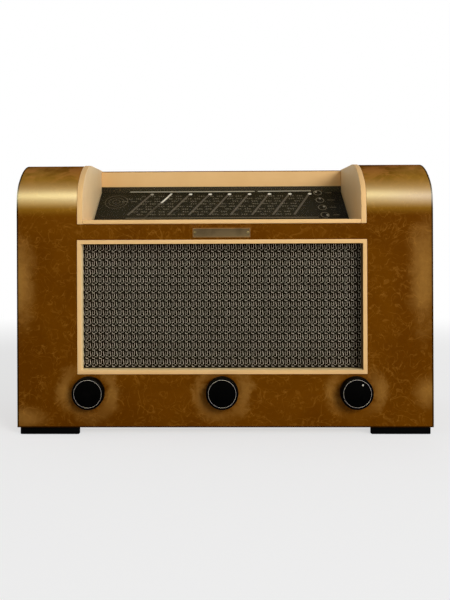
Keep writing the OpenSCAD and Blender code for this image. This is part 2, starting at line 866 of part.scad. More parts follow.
module speaker_basket() {
    color(steel) difference() {
        turned(speaker_cx, basket_y, speaker_up) polygon([
            [cone_r + 1, 0], [basket_r, 0], [basket_r, basket_t], [cone_r + 5, basket_t],
            [basket_back_r + 2, basket_d - basket_t], [basket_back_r + 2, basket_d],
            [coil_r + 2, basket_d], [coil_r + 2, basket_d - basket_t],
            [basket_back_r, basket_d - basket_t], [cone_r + 1, basket_t + 3]
        ]);
        for (a = [0:60:300])
            translate([speaker_cx, 0, speaker_up])
                rotate([0, a, 0])
                    block([-basket_slot_half, basket_y + basket_slot_in, 0],
                        [basket_slot_half, basket_y + basket_d - basket_slot_in, far]);
        for (a = [45:90:315])
            rod(speaker_cx + bolt_ring * cos(a), basket_y - 1, basket_y + basket_t + 1,
                speaker_up + bolt_ring * sin(a), speaker_bolt_r + 0.2);
    }
}

cone_t = 0.8;
coil_len = 20;
cone_front = 2;
cone_end_gap = 16;

module speaker_cone() {
    cone_back = basket_d - cone_end_gap;
    color([0.2, 0.19, 0.17]) turned(speaker_cx, basket_y, speaker_up) polygon([
        [cone_r, cone_front], [cone_r, cone_front + cone_t], [cone_r - 5, cone_front + cone_t],
        [coil_r, cone_back + cone_t], [coil_r, cone_back + cone_t + coil_len],
        [coil_r - cone_t, cone_back + cone_t + coil_len], [coil_r - cone_t, cone_back],
        [cone_r - 5 - cone_t, cone_front]
    ]);
}

module speaker_magnet() {
    gap = coil_len - cone_end_gap + cone_travel + 4;
    color([0.3, 0.3, 0.32]) turned(speaker_cx, magnet_y, speaker_up) polygon([
        [0, 0], [coil_r - cone_t - 0.6, 0], [coil_r - cone_t - 0.6, gap + 4],
        [coil_r + 0.6, gap + 4], [coil_r + 0.6, 0], [magnet_r, 0],
        [magnet_r, magnet_d], [0, magnet_d]
    ]);
}

module speaker_bolts() {
    color(steel) for (a = [45:90:315]) {
        x = speaker_cx + bolt_ring * cos(a);
        z = speaker_up + bolt_ring * sin(a);
        rod(x, basket_y - speaker_bolt_sink, basket_y + basket_t, z, speaker_bolt_r);
        rod(x, basket_y + basket_t, basket_y + basket_t + speaker_bolt_head_t, z,
            speaker_bolt_r + 1.4);
    }
}

nameplate_screw_r = 1;

module nameplate_hole(y0, y1, r) {
    for (side = [-1, 1])
        rod(layout_x + side * (nameplate_w / 2 - nameplate_screw_in), y0, y1,
            foot_h + nameplate_z, r);
}

module nameplate() {
    color([0.36, 0.32, 0.23]) difference() {
        block([layout_x - nameplate_w / 2, front_y - nameplate_t,
            foot_h + nameplate_z - nameplate_h / 2],
            [layout_x + nameplate_w / 2, front_y, foot_h + nameplate_z + nameplate_h / 2]);
        nameplate_hole(front_y - nameplate_t - 1, front_y + 1, nameplate_screw_r);
    }
}

module nameplate_screws() {
    color(brass) {
        nameplate_hole(front_y - nameplate_t, front_y, nameplate_screw_r);
        nameplate_hole(front_y - nameplate_t - 0.6, front_y - nameplate_t, nameplate_screw_r + 0.8);
    }
}

module knob(i) {
    color(black) turned(layout_x + i * knob_pitch, front_y - felt_t - knob_d, knob_up)
        polygon([
            [0, 0], [ring_r - 0.5, 0], [ring_r - 0.5, 0.5], [ring_r + 0.3, 0.5], [ring_r + 0.3, 0],
            [knob_r - 1.6, 0], [knob_r - 0.5, 0.6], [knob_r, 2], [knob_r, knob_d - 1],
            [knob_r - 1, knob_d], [shaft_r + run, knob_d], [shaft_r + run, knob_face_t],
            [0, knob_face_t]
        ]);
}

module volume_knob() {
    knob(-1);
}

module tuning_knob() {
    knob(0);
}

dot_r = 1.6;
dot_t = 0.8;
dot_x = layout_x + knob_pitch + dot_in * sin(dot_angle);
dot_up = knob_up + dot_in * cos(dot_angle);

module selector_knob() {
    difference() {
        knob(1);
        rod(dot_x, front_y - felt_t - knob_d - 1, front_y - felt_t - knob_d + dot_t, dot_up, dot_r);
    }
}

module selector_dot() {
    color("white") rod(dot_x, front_y - felt_t - knob_d, front_y - felt_t - knob_d + dot_t,
        dot_up, dot_r);
}

felt_w = 10;

module felt_washers() {
    color([0.25, 0.2, 0.16]) for (i = [-1:1])
        turned(layout_x + i * knob_pitch, front_y - felt_t + 0.2, knob_up)
            translate([shaft_r + 1, 0]) square([felt_w, felt_t - 0.2]);
}

knob_face_t = 5;
shaft_start = front_y - felt_t - knob_d + knob_face_t + 0.5;
shaft_in = 18;
long_shaft_in = 42;
shaft_end = chassis_y + shaft_in;
long_shaft_end = chassis_y + long_shaft_in;

module volume_shaft() {
    color(steel) rod(layout_x - knob_pitch, shaft_start, shaft_end, knob_up, shaft_r);
}

module tuning_spindle() {
    groove_r = spindle_cord_r - cord_r - fit;
    color(steel) turned(layout_x, shaft_start, knob_up) {
        mid = cord_y - shaft_start;
        polygon([
            [0, 0], [shaft_r, 0], [shaft_r, mid - 4], [spindle_cord_r + 2, mid - 4],
            [spindle_cord_r + 2, mid - 3], [groove_r, mid - 2], [groove_r, mid + 2],
            [spindle_cord_r + 2, mid + 3], [spindle_cord_r + 2, mid + 4], [shaft_r, mid + 4],
            [shaft_r, shaft_end - shaft_start], [0, shaft_end - shaft_start]
        ]);
    }
}

module selector_shaft() {
    color(steel) rod(layout_x + knob_pitch, shaft_start, long_shaft_end, knob_up, shaft_r);
}

bush_r = 5;
pot_r = 17;
pot_d = 20;
wafers = [14, 28];
wafer_r = 18;
wafer_t = 2;
wafer_rod_x = 13;
wafer_rod_r = 1.5;

// Threaded bush through the chassis front wall, with its body behind the wall
module control_body(i, r, depth) {
    x = layout_x + i * knob_pitch;
    difference() {
        union() {
            rod(x, chassis_y - 8, chassis_y + sheet_t, knob_up, bush_r - run);
            rod(x, chassis_y + sheet_t, chassis_y + sheet_t + depth, knob_up, r);
            rod(x, chassis_y - 2.5, chassis_y, knob_up, bush_r + 3);
        }
        rod(x, chassis_y - 9, chassis_y + depth + 3, knob_up, shaft_r + run);
    }
}

module volume_pot() {
    color([0.5, 0.42, 0.3]) control_body(-1, pot_r, pot_d);
}

module band_switch() {
    x = layout_x + knob_pitch;
    color([0.55, 0.4, 0.22]) {
        control_body(1, 9, 6);
        for (y = wafers) difference() {
            rod(x, chassis_y + y, chassis_y + y + wafer_t, knob_up, wafer_r);
            rod(x, chassis_y + y - 1, chassis_y + y + wafer_t + 1, knob_up, shaft_r + run);
        }
        for (side = [-1, 1]) difference() {
            rod(x + side * wafer_rod_x, chassis_y + sheet_t, chassis_y + wafers[1] + 5, knob_up,
                wafer_rod_r);
            for (y = wafers)
                rod(x + side * wafer_rod_x, chassis_y + y, chassis_y + y + wafer_t, knob_up,
                    wafer_rod_r + 0.5);
        }
    }
}

module chassis() {
    half = chassis_w / 2;
    color([0.7, 0.71, 0.7]) difference() {
        block([-half, chassis_y, floor_z], [half, chassis_rear, chassis_top]);
        block([-half + sheet_t, chassis_y + sheet_t, floor_z + sheet_t],
            [half - sheet_t, chassis_rear - sheet_t, chassis_top - sheet_t]);
        block([-half + chassis_flange, chassis_y + sheet_t, floor_z - 1],
            [half - chassis_flange, chassis_rear - sheet_t, floor_z + 2]);
        for (i = [-1, 1])
            rod(layout_x + i * knob_pitch, chassis_y - 1, chassis_y + sheet_t + 1, knob_up, bush_r);
        rod(layout_x, chassis_y - 1, chassis_y + sheet_t + 1, knob_up, shaft_r + run);
        for (side = [-1, 1], y = bolt_ys)
            translate([side * bolt_x, y, floor_z - 1])
                cylinder(h = sheet_t + 2, r = bolt_r + 0.2);
        for (spot = tube_spots)
            translate([spot[0], chassis_y + spot[1], chassis_top - sheet_t - 1])
                cylinder(h = sheet_t + 2, r = tube_base_r - 3);
    }
}

bolt_head_t = 3;
nut_r = 2 * bolt_r;
nut_t = 4;

module chassis_bolts() {
    color(steel) for (side = [-1, 1], y = bolt_ys) translate([side * bolt_x, y, 0]) {
        translate([0, 0, foot_h - bolt_head_t]) cylinder(h = bolt_head_t, r = nut_r);
        translate([0, 0, foot_h]) cylinder(h = bottom_t + sheet_t + nut_t + 2, r = bolt_r);
        translate([0, 0, floor_z + sheet_t]) difference() {
            cylinder(h = nut_t, r = nut_r, $fn = 6);
            translate([0, 0, -1]) cylinder(h = nut_t + 2, r = bolt_r + eps);
        }
    }
}

tube_pin_r = 1.1;
tube_pin_in = 6;
bulb_low = 14;
bulb_high = 34;
bulb_dome = 46;
bulb_t = 1.2;

// Places children at each tube, with the chassis top as ground
module at_tubes() {
    for (spot = tube_spots)
        translate([spot[0], chassis_y + spot[1], chassis_top]) children();
}

module tube_sockets() {
    color([0.45, 0.3, 0.15]) at_tubes() difference() {
        cylinder(h = socket_t, r = tube_base_r + 2);
        for (a = [0:45:315])
            rotate([0, 0, a]) translate([tube_base_r - tube_pin_in, 0, -1])
                cylinder(h = socket_t + 2, r = tube_pin_r + 0.1);
    }
}

module tube_bases() {
    color([0.12, 0.1, 0.1]) at_tubes() {
        translate([0, 0, socket_t]) cylinder(h = tube_base_h, r = tube_base_r);
        for (a = [0:45:315])
            rotate([0, 0, a]) translate([tube_base_r - tube_pin_in, 0, 0])
                cylinder(h = socket_t, r = tube_pin_r);
        translate([0, 0, socket_t + tube_base_h]) cylinder(h = tube_h - bulb_high, r = anode_r);
    }
}

module tube_bulbs() {
    neck = tube_base_r - 1.5;
    color([0.7, 0.75, 0.75, 0.5]) at_tubes() translate([0, 0, socket_t + tube_base_h])
        rotate_extrude() polygon([
            [neck - bulb_t, 0], [neck, 0], [tube_r, bulb_low], [tube_r, bulb_high],
            [tube_r - 5, bulb_dome], [tube_r - 6, tube_h - 10], [tube_r - 9, tube_h - 3],
            [0, tube_h], [0, tube_h - bulb_t], [tube_r - 9 - bulb_t, tube_h - 3 - bulb_t],
            [tube_r - 6 - bulb_t, tube_h - 10 - bulb_t], [tube_r - 5 - bulb_t, bulb_dome],
            [tube_r - bulb_t, bulb_high], [tube_r - bulb_t, bulb_low]
        ]);
}

// Laminated core standing on the chassis, with a winding through its two windows
module transformer(spot, w, d, h) {
    translate([spot[0], chassis_y + spot[1], chassis_top]) {
        color([0.25, 0.25, 0.27]) difference() {
            block([-w / 2, -d / 2, 0], [w / 2, d / 2, h]);
            for (side = [-1, 1])
                translate([side * w / 4, 0, 0])
                    block([-w / 8, -d, h / 5], [w / 8, d, h * 4 / 5]);
        }
        color([0.72, 0.5, 0.22]) for (side = [-1, 1])
            translate([side * w / 4, 0, 0])
                block([fit - w / 8, -d / 2 - winding_out, h / 5 + fit],
                    [w / 8 - fit, d / 2 + winding_out, h * 4 / 5 - fit]);
    }
}

module mains_transformer() {
    transformer(mains_core_spot, mains_core_w, mains_core_d, mains_core_h);
}

module output_transformer() {
    transformer(output_core_spot, output_core_w, output_core_d, output_core_h);
}

module smoothing_capacitor() {
    color(steel) translate([capacitor_spot[0], chassis_y + capacitor_spot[1], chassis_top])
        cylinder(h = capacitor_h, r = capacitor_r);
}

module if_cans() {
    color([0.78, 0.78, 0.77]) for (spot = can_spots)
        translate([spot[0] - can_w / 2, chassis_y + spot[1] - can_w / 2, chassis_top])
            cube([can_w, can_w, can_h]);
}

// Insulating strip with two bores, standing off the chassis rear wall
module socket_strip(x) {
    color([0.3, 0.2, 0.12]) difference() {
        block([x - strip_w / 2, chassis_rear, connect_up - strip_h / 2],
            [x + strip_w / 2, rear_y - cover_in, connect_up + strip_h / 2]);
        for (side = [-1, 1])
            rod(x + side * socket_pitch / 2, rear_y - cover_in - socket_bore_d,
                rear_y, connect_up, socket_bore_r);
    }
}

module aerial_sockets() {
    socket_strip(aerial_x);
}

module pickup_sockets() {
    socket_strip(pickup_x);
}

// Shrouded inlet with two pins
module mains_inlet() {
    face = rear_y - cover_in;
    color([0.1, 0.09, 0.08]) difference() {
        block([inlet_x - strip_w / 2, chassis_rear, connect_up - strip_h / 2],
            [inlet_x + strip_w / 2, face, connect_up + strip_h / 2]);
        block([inlet_x - strip_w / 2 + shroud_t, face - inlet_pin_d - 1,
            connect_up - strip_h / 2 + shroud_t],
            [inlet_x + strip_w / 2 - shroud_t, face + 1, connect_up + strip_h / 2 - shroud_t]);
    }
    color(brass) for (side = [-1, 1])
        rod(inlet_x + side * socket_pitch / 2, face - inlet_pin_d - 1, face - 1, connect_up,
            inlet_pin_r);
}

cover_screw_low = 25;
cover_screw_drop = 35;
cover_screw_z = [
    floor_z + cover_screw_low, (floor_z + body_top) / 2, body_top - cover_screw_drop
];
cover_w = inner_w - 2 * fit;
slot_w = 6;
slot_h = 34;
slot_pitch = 20;
slot_row_pitch = 50;
slot_low = 22;
slot_end_gap = 45;
slot_rows = 4;
slot_count = floor((cover_w - 2 * slot_end_gap) / slot_pitch);

module back_cover() {
    color(board) difference() {
        block([-cover_w / 2, cover_y, floor_z + fit],
            [cover_w / 2, cover_y + cover_t, body_top - ply_t - fit]);
        for (row = [0:slot_rows - 1], i = [0:slot_count - 1])
            translate([(i - (slot_count - 1) / 2) * slot_pitch - slot_w / 2, cover_y - 1,
                chassis_top + slot_low + row * slot_row_pitch])
                cube([slot_w, cover_t + 2, slot_h]);
        for (x = [aerial_x, pickup_x, inlet_x])
            block([x - strip_w / 2 - 1, cover_y - 1, connect_up - strip_h / 2 - 1],
                [x + strip_w / 2 + 1, rear_y, connect_up + strip_h / 2 + 1]);
        both_sides() for (z = cover_screw_z)
            rod(inner_w / 2 - batten_w / 2, cover_y - 1, rear_y, z, cover_screw_r + 0.2);
    }
}

module back_cover_screws() {
    color(brass) both_sides() for (z = cover_screw_z) {
        rod(inner_w / 2 - batten_w / 2, cover_y - cover_screw_len, cover_y + cover_t, z,
            cover_screw_r);
        rod(inner_w / 2 - batten_w / 2, cover_y + cover_t, cover_y + cover_t + cover_screw_head_t,
            z, cover_screw_head_r);
    }
}

front_wrap();
left_side_panel();
right_side_panel();
bottom_board();
glue_blocks();
left_foot();
right_foot();
foot_screws();
left_cheek();
right_cheek();
dial_sill();
recess_back();
dial_glass();
dial_plate();
dial_frame();
lamp_holders();
dial_lamps();
pointer_rail();
dial_pointer();
left_pulley();
right_pulley();
guide_pulley();
drive_cord();
drive_drum();
gang_frame();
gang_stator();
gang_rotor();
grille_frame();
grille_cloth();
baffle_board();
speaker_basket();
speaker_cone();
speaker_magnet();
speaker_bolts();
nameplate();
nameplate_screws();
volume_knob();
tuning_knob();
selector_knob();
selector_dot();
felt_washers();
volume_shaft();
tuning_spindle();
selector_shaft();
volume_pot();
band_switch();
chassis();
chassis_bolts();
tube_sockets();
tube_bases();
tube_bulbs();
mains_transformer();
output_transformer();
smoothing_capacitor();
if_cans();
aerial_sockets();
pickup_sockets();
mains_inlet();
back_cover();
back_cover_screws();
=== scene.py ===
import json
import math
import bmesh
import bpy
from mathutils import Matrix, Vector

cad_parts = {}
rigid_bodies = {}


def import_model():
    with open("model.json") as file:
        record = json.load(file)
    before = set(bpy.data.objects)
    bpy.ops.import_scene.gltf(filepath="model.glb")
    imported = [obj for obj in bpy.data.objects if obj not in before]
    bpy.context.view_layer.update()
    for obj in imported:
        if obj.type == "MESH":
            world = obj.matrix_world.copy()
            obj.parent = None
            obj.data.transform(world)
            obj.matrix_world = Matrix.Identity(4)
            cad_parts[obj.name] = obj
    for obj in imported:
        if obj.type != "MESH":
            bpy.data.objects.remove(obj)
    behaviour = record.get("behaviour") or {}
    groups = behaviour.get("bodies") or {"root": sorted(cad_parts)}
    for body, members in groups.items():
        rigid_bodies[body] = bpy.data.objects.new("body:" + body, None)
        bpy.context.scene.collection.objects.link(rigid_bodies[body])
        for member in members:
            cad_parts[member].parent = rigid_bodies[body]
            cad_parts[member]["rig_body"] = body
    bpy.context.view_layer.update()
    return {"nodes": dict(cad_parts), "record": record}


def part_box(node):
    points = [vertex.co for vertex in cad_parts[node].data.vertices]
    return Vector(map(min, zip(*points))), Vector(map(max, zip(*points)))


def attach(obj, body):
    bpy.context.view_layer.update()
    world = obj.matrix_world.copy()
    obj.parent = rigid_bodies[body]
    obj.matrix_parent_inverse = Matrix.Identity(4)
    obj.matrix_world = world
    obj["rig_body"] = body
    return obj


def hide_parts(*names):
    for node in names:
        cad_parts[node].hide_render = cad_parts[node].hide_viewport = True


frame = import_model()
nodes = frame["nodes"]
bpy.ops.object.select_all(action="DESELECT")

MM = 0.001
FRONT_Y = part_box("front_wrap")[0].y
NODE_SLOTS = {row["node"]: row["material_slot"] for row in frame["record"]["subparts"]}
KNOB_NODES = ("volume_knob", "tuning_knob", "selector_knob")

# Clean copies of the CAD pieces: points merged below this distance, faces made one below the first angle in
# degrees, edges rounded above the second
MERGE = 0.02 * MM
FLAT_ANGLE = 0.4
CORNER_ANGLE = 30

# Dial: the glass starts DIAL_FRONT behind the front face and rises to the rear
DIAL_FRONT = 85 * MM
DIAL_RISE = 51.4 * MM
DIAL_RUN = 105 * MM
DIAL_SLOPE = math.atan2(DIAL_RISE, DIAL_RUN)
GLASS_T = 3 * MM
SILL_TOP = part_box("dial_sill")[1].z
GLASS_TOP = SILL_TOP + DIAL_RISE
POINTER_BRIGHT_Z = SILL_TOP + 26.0 * MM

# Depths of the print below the top of the glass: on its underside and on the plate
PRINT_DEPTH = GLASS_T + 0.06 * MM
PLATE_DEPTH = 7.75 * MM
PRINT_T = 0.03 * MM
PRINT_X = 1.4 * MM

# Drawing of the dial, in millimetres: X across and S up the slope of the glass
RAIL_S = (33.5, 106.7)
RAIL_LOW = (-139.0, -110.4, -81.2, -51.2, -21.6, 8.7, 39.4, 69.1, 99.7)
RAIL_HIGH = (-109.4, -80.3, -51.6, -22.1, 7.0, 37.0, 67.0, 97.7, 127.4)
RAIL_W = 3.3
DOT_S = 95.5
DOT_X = (-107.5, -77.3, -50.2, -20.9, 7.9, 37.7, 67.4, 97.8, 127.2)
DOT_R = (2.7, 3.1)
POINTER_RAIL = 1
UPPER_LINES = ((-141, 105.0, 45.5, 105.5), (50.5, 105.5, 129.5, 106.8))
UPPER_W = 2.9
LOWER_LINE = (-139.6, 13.5, 132.8, 14.5)
LOWER_W = 2.6
CIRCLES = ((139.2, 99.4), (139.9, 72.8), (140.8, 47.2), (142.0, 22.1))
CIRCLE_R = (6.3, 9.0)
CIRCLE_W = 1.3
CIRCLE_DOTS = ((-2.2, 3.0), (0.4, 5.2), (2.6, 3.0), (3.4, -0.6))
CIRCLE_DOT_R = (1.7, 2.6)
DASHES = ((150.4, 160.1), (150.9, 161.9), (151.2, 160.6), (153.8, 162.4))
DASH_W = 2.4
RINGS_AT = (-158.4, 69.5)
RINGS_R = ((16.6, 23), (11.4, 14.5), (5.8, 7))
RINGS_W = 0.75

# Rows of numbers: foot of each column, height of the feet and slant of the columns; first row and distance of
# the rows; how far a row ends before its column, and by how much the ends differ; the size of the type
ROW_X = (-137.8, -108.1, -80.5, -50.8, -21.4, 8.6, 39.0, 68.4, 98.8)
ROW_S = 23.5
ROW_SLANT = 0.404
ROW_TOP = 88.5
ROW_PITCH = 9.0
ROW_GAP = 4.5
ROW_STAGGER = 2.2
ROW_COUNT = 8
FIRST_COLUMN_ROWS = 3
TYPE_SIZE = 5.6
TYPE_HALF = 2
TYPE_WIDE = 1.15

# Silver line of the knobs; radius of the selector's dot as a share of its CAD width, and height of its dome
# as a share of that radius
RING_R = 17.7 * MM
RING_WIRE = 0.2 * MM
DOT_SHARE = 0.38
DOT_FLAT = 0.28

# Screws of the back cover: heights in millimetres, size of a head, and its whole height over its plain part's
COVER_SCREW_Z = (44.5, 187, 319.5)
COVER_SCREW_R = 3.6 * MM
COVER_SCREW_T = 2 * MM
DOMED = 1.33

# Nameplate: rim, its height, half the height of the bare field, and the screws' heads
RIM_W = 1.1 * MM
RIM_H = 0.25 * MM
FIELD_HALF = 4 * MM
PLATE_SCREW_R = 1.9 * MM
PLATE_SCREW_T = 0.75 * MM
PLATE_SCREW_IN = 0.4 * MM

# Grille cloth: one cell of the weave; thickness of the backing sheet, how far its middle stands before the
# baffle, and its quads across and up
CELL_W = 8.75 * MM
CELL_H = 10.8 * MM
CLOTH_T = 0.25 * MM
CLOTH_IN = 0.3 * MM
CLOTH_QUADS = (74, 34)
YARN_SIDES = 4
YARN_FLAT = 0.8
# Yarns of a cell: name, radius in millimetres, and points as shares of the cell, each with its height in
# millimetres
YARNS = (
    ("cord", 0.33, ((-0.38, 0.47, 0.3), (-0.35, 0.25, 0.8), (-0.29, 0.08, 0.8), (-0.275, -0.15, 0.3))),
    ("loop_right", 0.25, ((0.33, 0.48, 0.3), (0.31, 0.15, 0.8), (0.3, -0.036, 0.7), (-0.02, -0.04, 0.3))),
    ("loop_left", 0.17, ((0.0, 0.38, 0.3), (0.02, 0.03, 0.4))),
    ("weft", 0.36, ((-0.04, -0.39, 0.3), (0.16, -0.4, 0.9), (0.34, -0.39, 0.3))),
    ("low_weft", 0.25, ((0.36, -0.2, 0.3), (0.64, -0.23, 0.3))),
    ("knot", 0.22, ((-0.06, -0.3, 0.3), (0.07, -0.2, 0.3))),
)

# Places on the front's veneer between which each look sets in or ends: the cloudy bend in height and depth,
# the band of painted highlight and the polished band in height, and the painted shade on the outer and lower
# edges
BEND_FROM = (0.320, 0.338)
BEND_BACK = (-0.075, -0.03)
HIGHLIGHT_BAND_FROM = (0.282, 0.303)
HIGHLIGHT_BAND_TO = (0.318, 0.358)
POLISH_FROM = (0.292, 0.311)
POLISH_TO = (0.313, 0.336)
SHADE_EDGE_X = (0.2675, 0.2683)
SHADE_EDGE_Z = (0.0106, 0.0114)
WORN_AND_HIGHLIT_VENEER = (154, 110, 48)

# Worn, lighter places of the veneer, partly painted highlight: centre and reach in millimetres, and strength
WORN_AND_HIGHLIT = (
    ((-268, -114, 197), (26, 60, 76), 0.8),
    ((258, -114, 207), (24, 60, 92), 0.66),
    ((266, -114, 56), (27, 60, 27), 0.6),
    ((-262, -114, 22), (34, 60, 19), 0.6),
    ((-252, -78, 345), (52, 60, 26), 0.62),
    ((256, -78, 345), (46, 60, 24), 0.5),
)
# Rubbed, lighter rings round the knobs, partly painted highlight: radius and width, strength beside the knob,
# and above and below each of them
RUBBED_AND_HIGHLIT_R = 31 * MM
RUBBED_AND_HIGHLIT_W = 15 * MM
RUBBED_AND_HIGHLIT_BESIDE = 0.58
RUBBED_AND_HIGHLIT = (("volume_knob", 0.22), ("tuning_knob", 0.3), ("selector_knob", 0.06))

# Camera: the eye's place, the lens from the scale at the front face, and a small turn and roll in degrees,
# because the right side of the picture is a little larger
EYE = Vector((-5.5, -1262.25, 268.2)) * MM
LENS = 53.201
SENSOR = 36
SHIFT_X = 0.034541
SHIFT_Y = -0.120153
ROLL = 0.231
YAW = 1.001

# Lamps: place, target, width, height and watts
LAMPS = {
    "key": ((2.03, -3.6, 1.68), (0, 0, 0.2), 1.72, 1.72, 135),
    "gloss_strip": ((-0.36, -1.0, 0.85), (-0.36, -0.1, 0.31), 1.6, 0.06, 36),
    "left_side": ((-2.4, 0.35, 0.3), (0, 0.05, 0.18), 0.9, 0.5, 22),
    "rear": ((0.5, 2.4, 0.12), (0, 0, 0.18), 1.2, 0.4, 34),
}
STRIP_COLOUR = (1, 0.92, 0.45)

# Room: strength of its light on the object, share of the floor's own glow near the object, the floor's
# radius, and the squared distances between which the floor's glow grows to its full strength
FILL = 0.3
FLOOR_SHARE = 0.62
FLOOR_R = 6
FLOOR_FAR = (0.5, 2.5)


def srgb(r, g, b):
    """A colour given as 0 to 255 on the screen, as the linear values that Blender takes."""
    def linear(v):
        v = v / 255
        return v / 12.92 if v <= 0.04045 else ((v + 0.055) / 1.055) ** 2.4
    return (linear(r), linear(g), linear(b), 1)


class Wire:
    """A socket in a material, with arithmetic written as Python expressions."""

    def __init__(self, mat, socket):
        self.mat = mat
        self.socket = socket

    def maths(self, operation, *others):
        inputs = {0: self, **dict(enumerate(others, 1))}
        return self.mat.node("ShaderNodeMath", {"operation": operation}, inputs)

    def __add__(self, other):
        return self.maths("ADD", other)

    def __radd__(self, other):
        return self.maths("ADD", other)

    def __sub__(self, other):
        return self.maths("SUBTRACT", other)

    def __rsub__(self, other):
        return self.mat.node("ShaderNodeMath", {"operation": "SUBTRACT"}, {0: other, 1: self})

    def __mul__(self, other):
        return self.maths("MULTIPLY", other)

    def __rmul__(self, other):
        return self.maths("MULTIPLY", other)

    def __truediv__(self, other):
        return self.maths("DIVIDE", other)

    def __pow__(self, other):
        return self.maths("POWER", other)

    def __abs__(self):
        return self.maths("ABSOLUTE")

    def clamp(self):
        return self.mat.node("ShaderNodeClamp", {}, {"Value": self})

    def step(self, low, high):
        """0 below low, 1 above high and smooth between."""
        settings = {"interpolation_type": "SMOOTHSTEP"}
        inputs = {"Value": self, "From Min": low, "From Max": high}
        return self.mat.node("ShaderNodeMapRange", settings, inputs)


class Finish:
    """A material under construction: one Principled shader and the nodes that feed it."""

    def __init__(self, name):
        self.material = bpy.data.materials.new(name)
        self.material.use_nodes = True
        self.tree = self.material.node_tree
        self.shader = self.tree.nodes["Principled BSDF"]
        self.output = self.tree.nodes["Material Output"]

    def node(self, kind, settings, links, out=0):
        made = self.tree.nodes.new(kind)
        for key, value in settings.items():
            setattr(made, key, value)
        self.feed(made, links)
        return Wire(self, made.outputs[out])

    def feed(self, made, links):
        for key, value in links.items():
            socket = made.inputs[key]
            if isinstance(value, Wire):
                self.tree.links.new(value.socket, socket)
            else:
                socket.default_value = value

    def place(self, scale=(1, 1, 1)):
        """Object coordinates, scaled."""
        spot = self.node("ShaderNodeTexCoord", {}, {}, out=3)
        return self.node("ShaderNodeMapping", {}, {"Vector": spot, "Scale": scale})

    def axes(self):
        """Object coordinates as three values."""
        spot = self.node("ShaderNodeTexCoord", {}, {}, out=3)
        split = self.node("ShaderNodeSeparateXYZ", {}, {"Vector": spot})
        parts = split.socket.node.outputs
        return Wire(self, parts[0]), Wire(self, parts[1]), Wire(self, parts[2])

    def noise(self, vector, scale, detail=3, roughness=0.5, twist=0):
        inputs = {"Vector": vector, "Scale": scale, "Detail": detail, "Roughness": roughness}
        inputs["Distortion"] = twist
        return self.node("ShaderNodeTexNoise", {}, inputs)

    def mix(self, amount, a, b):
        """Colour a where amount is 0, colour b where it is 1. Sockets 6, 7 and 2 are the colours."""
        return self.node("ShaderNodeMix", {"data_type": "RGBA"}, {0: amount, 6: a, 7: b}, out=2)

    def bump(self, height, distance, strength):
        return self.node("ShaderNodeBump", {}, {"Height": height, "Distance": distance, "Strength": strength})

    def shade(self, **sockets):
        """Sets the Principled shader's sockets, named with _ for each space."""
        self.feed(self.shader, {key.replace("_", " "): value for key, value in sockets.items()})
        return self.material


def squiggles(mat, spot, scale, width, twist):
    """Thin meandering lines where a noise passes its middle value, broken up by a second noise."""
    line = abs(mat.noise(spot, scale, 2, 0.5, twist) - 0.5)
    gaps = mat.noise(spot, scale * 1.3, 1, 0.5, 1.0).step(0.38, 0.62)
    return (1 - line.step(width * 0.35, width)) * gaps


def blob(mat, parts, centre, reach, ragged):
    """A soft patch round a centre, its outline broken up by a noise."""
    away = 0
    for part, middle, span in zip(parts, centre, reach):
        away = ((part - middle) * (1 / span)) ** 2 + away
    return 1 - (away ** 0.5 + (ragged - 0.5) * 1.1).step(0.1, 1.1)


def burr(mat, spot):
    """Colour of the burr veneer, with its finest lines and flecks for the relief."""
    cloud = mat.noise(spot, 9, 4, 0.6, 0.6)
    fleck = mat.noise(spot, 260, 4, 0.7, 0.2)
    wide = squiggles(mat, spot, 22, 0.012, 1.4)
    fine = squiggles(mat, spot, 40, 0.020, 1.2)
    hair = squiggles(mat, spot, 66, 0.034, 1.0)
    colour = mat.mix(cloud.step(0.35, 0.7), srgb(88, 46, 0), srgb(98, 54, 1))
    colour = mat.mix(fleck.step(0.5, 0.8) * 0.2, colour, srgb(108, 66, 6))
    colour = mat.mix((wide * 0.4 + fine * 0.4 + hair * 0.3).clamp() * 0.85, colour, srgb(136, 88, 28))
    return colour, fine, fleck


def lacquered(mat, spot, colour, fine, fleck, coat):
    """The veneer's lacquer: matt, with a coat that makes the gloss where it is thick."""
    return mat.shade(
        Base_Color=colour,
        Roughness=0.46 + 0.12 * mat.noise(spot, 60, 3),
        Specular_IOR_Level=0.0,
        Coat_Weight=coat,
        Coat_Roughness=0.5,
        Coat_IOR=2.2,
        Normal=mat.bump(fine * 0.5 + fleck * 0.5, 0.00008, 0.3),
    )


def side_veneer_finish():
    """Burr veneer of the side panels, a little rubbed along their lower edges."""
    mat = Finish("side_veneer")
    spot = mat.place()
    colour, fine, fleck = burr(mat, spot)
    low = (1 - mat.axes()[2].step(0.012, 0.045)) * mat.noise(spot, 42, 6, 0.7, 0.5)
    colour = mat.mix(low * 0.6, colour, srgb(*WORN_AND_HIGHLIT_VENEER))
    return lacquered(mat, spot, colour, fine, fleck, 0.02)


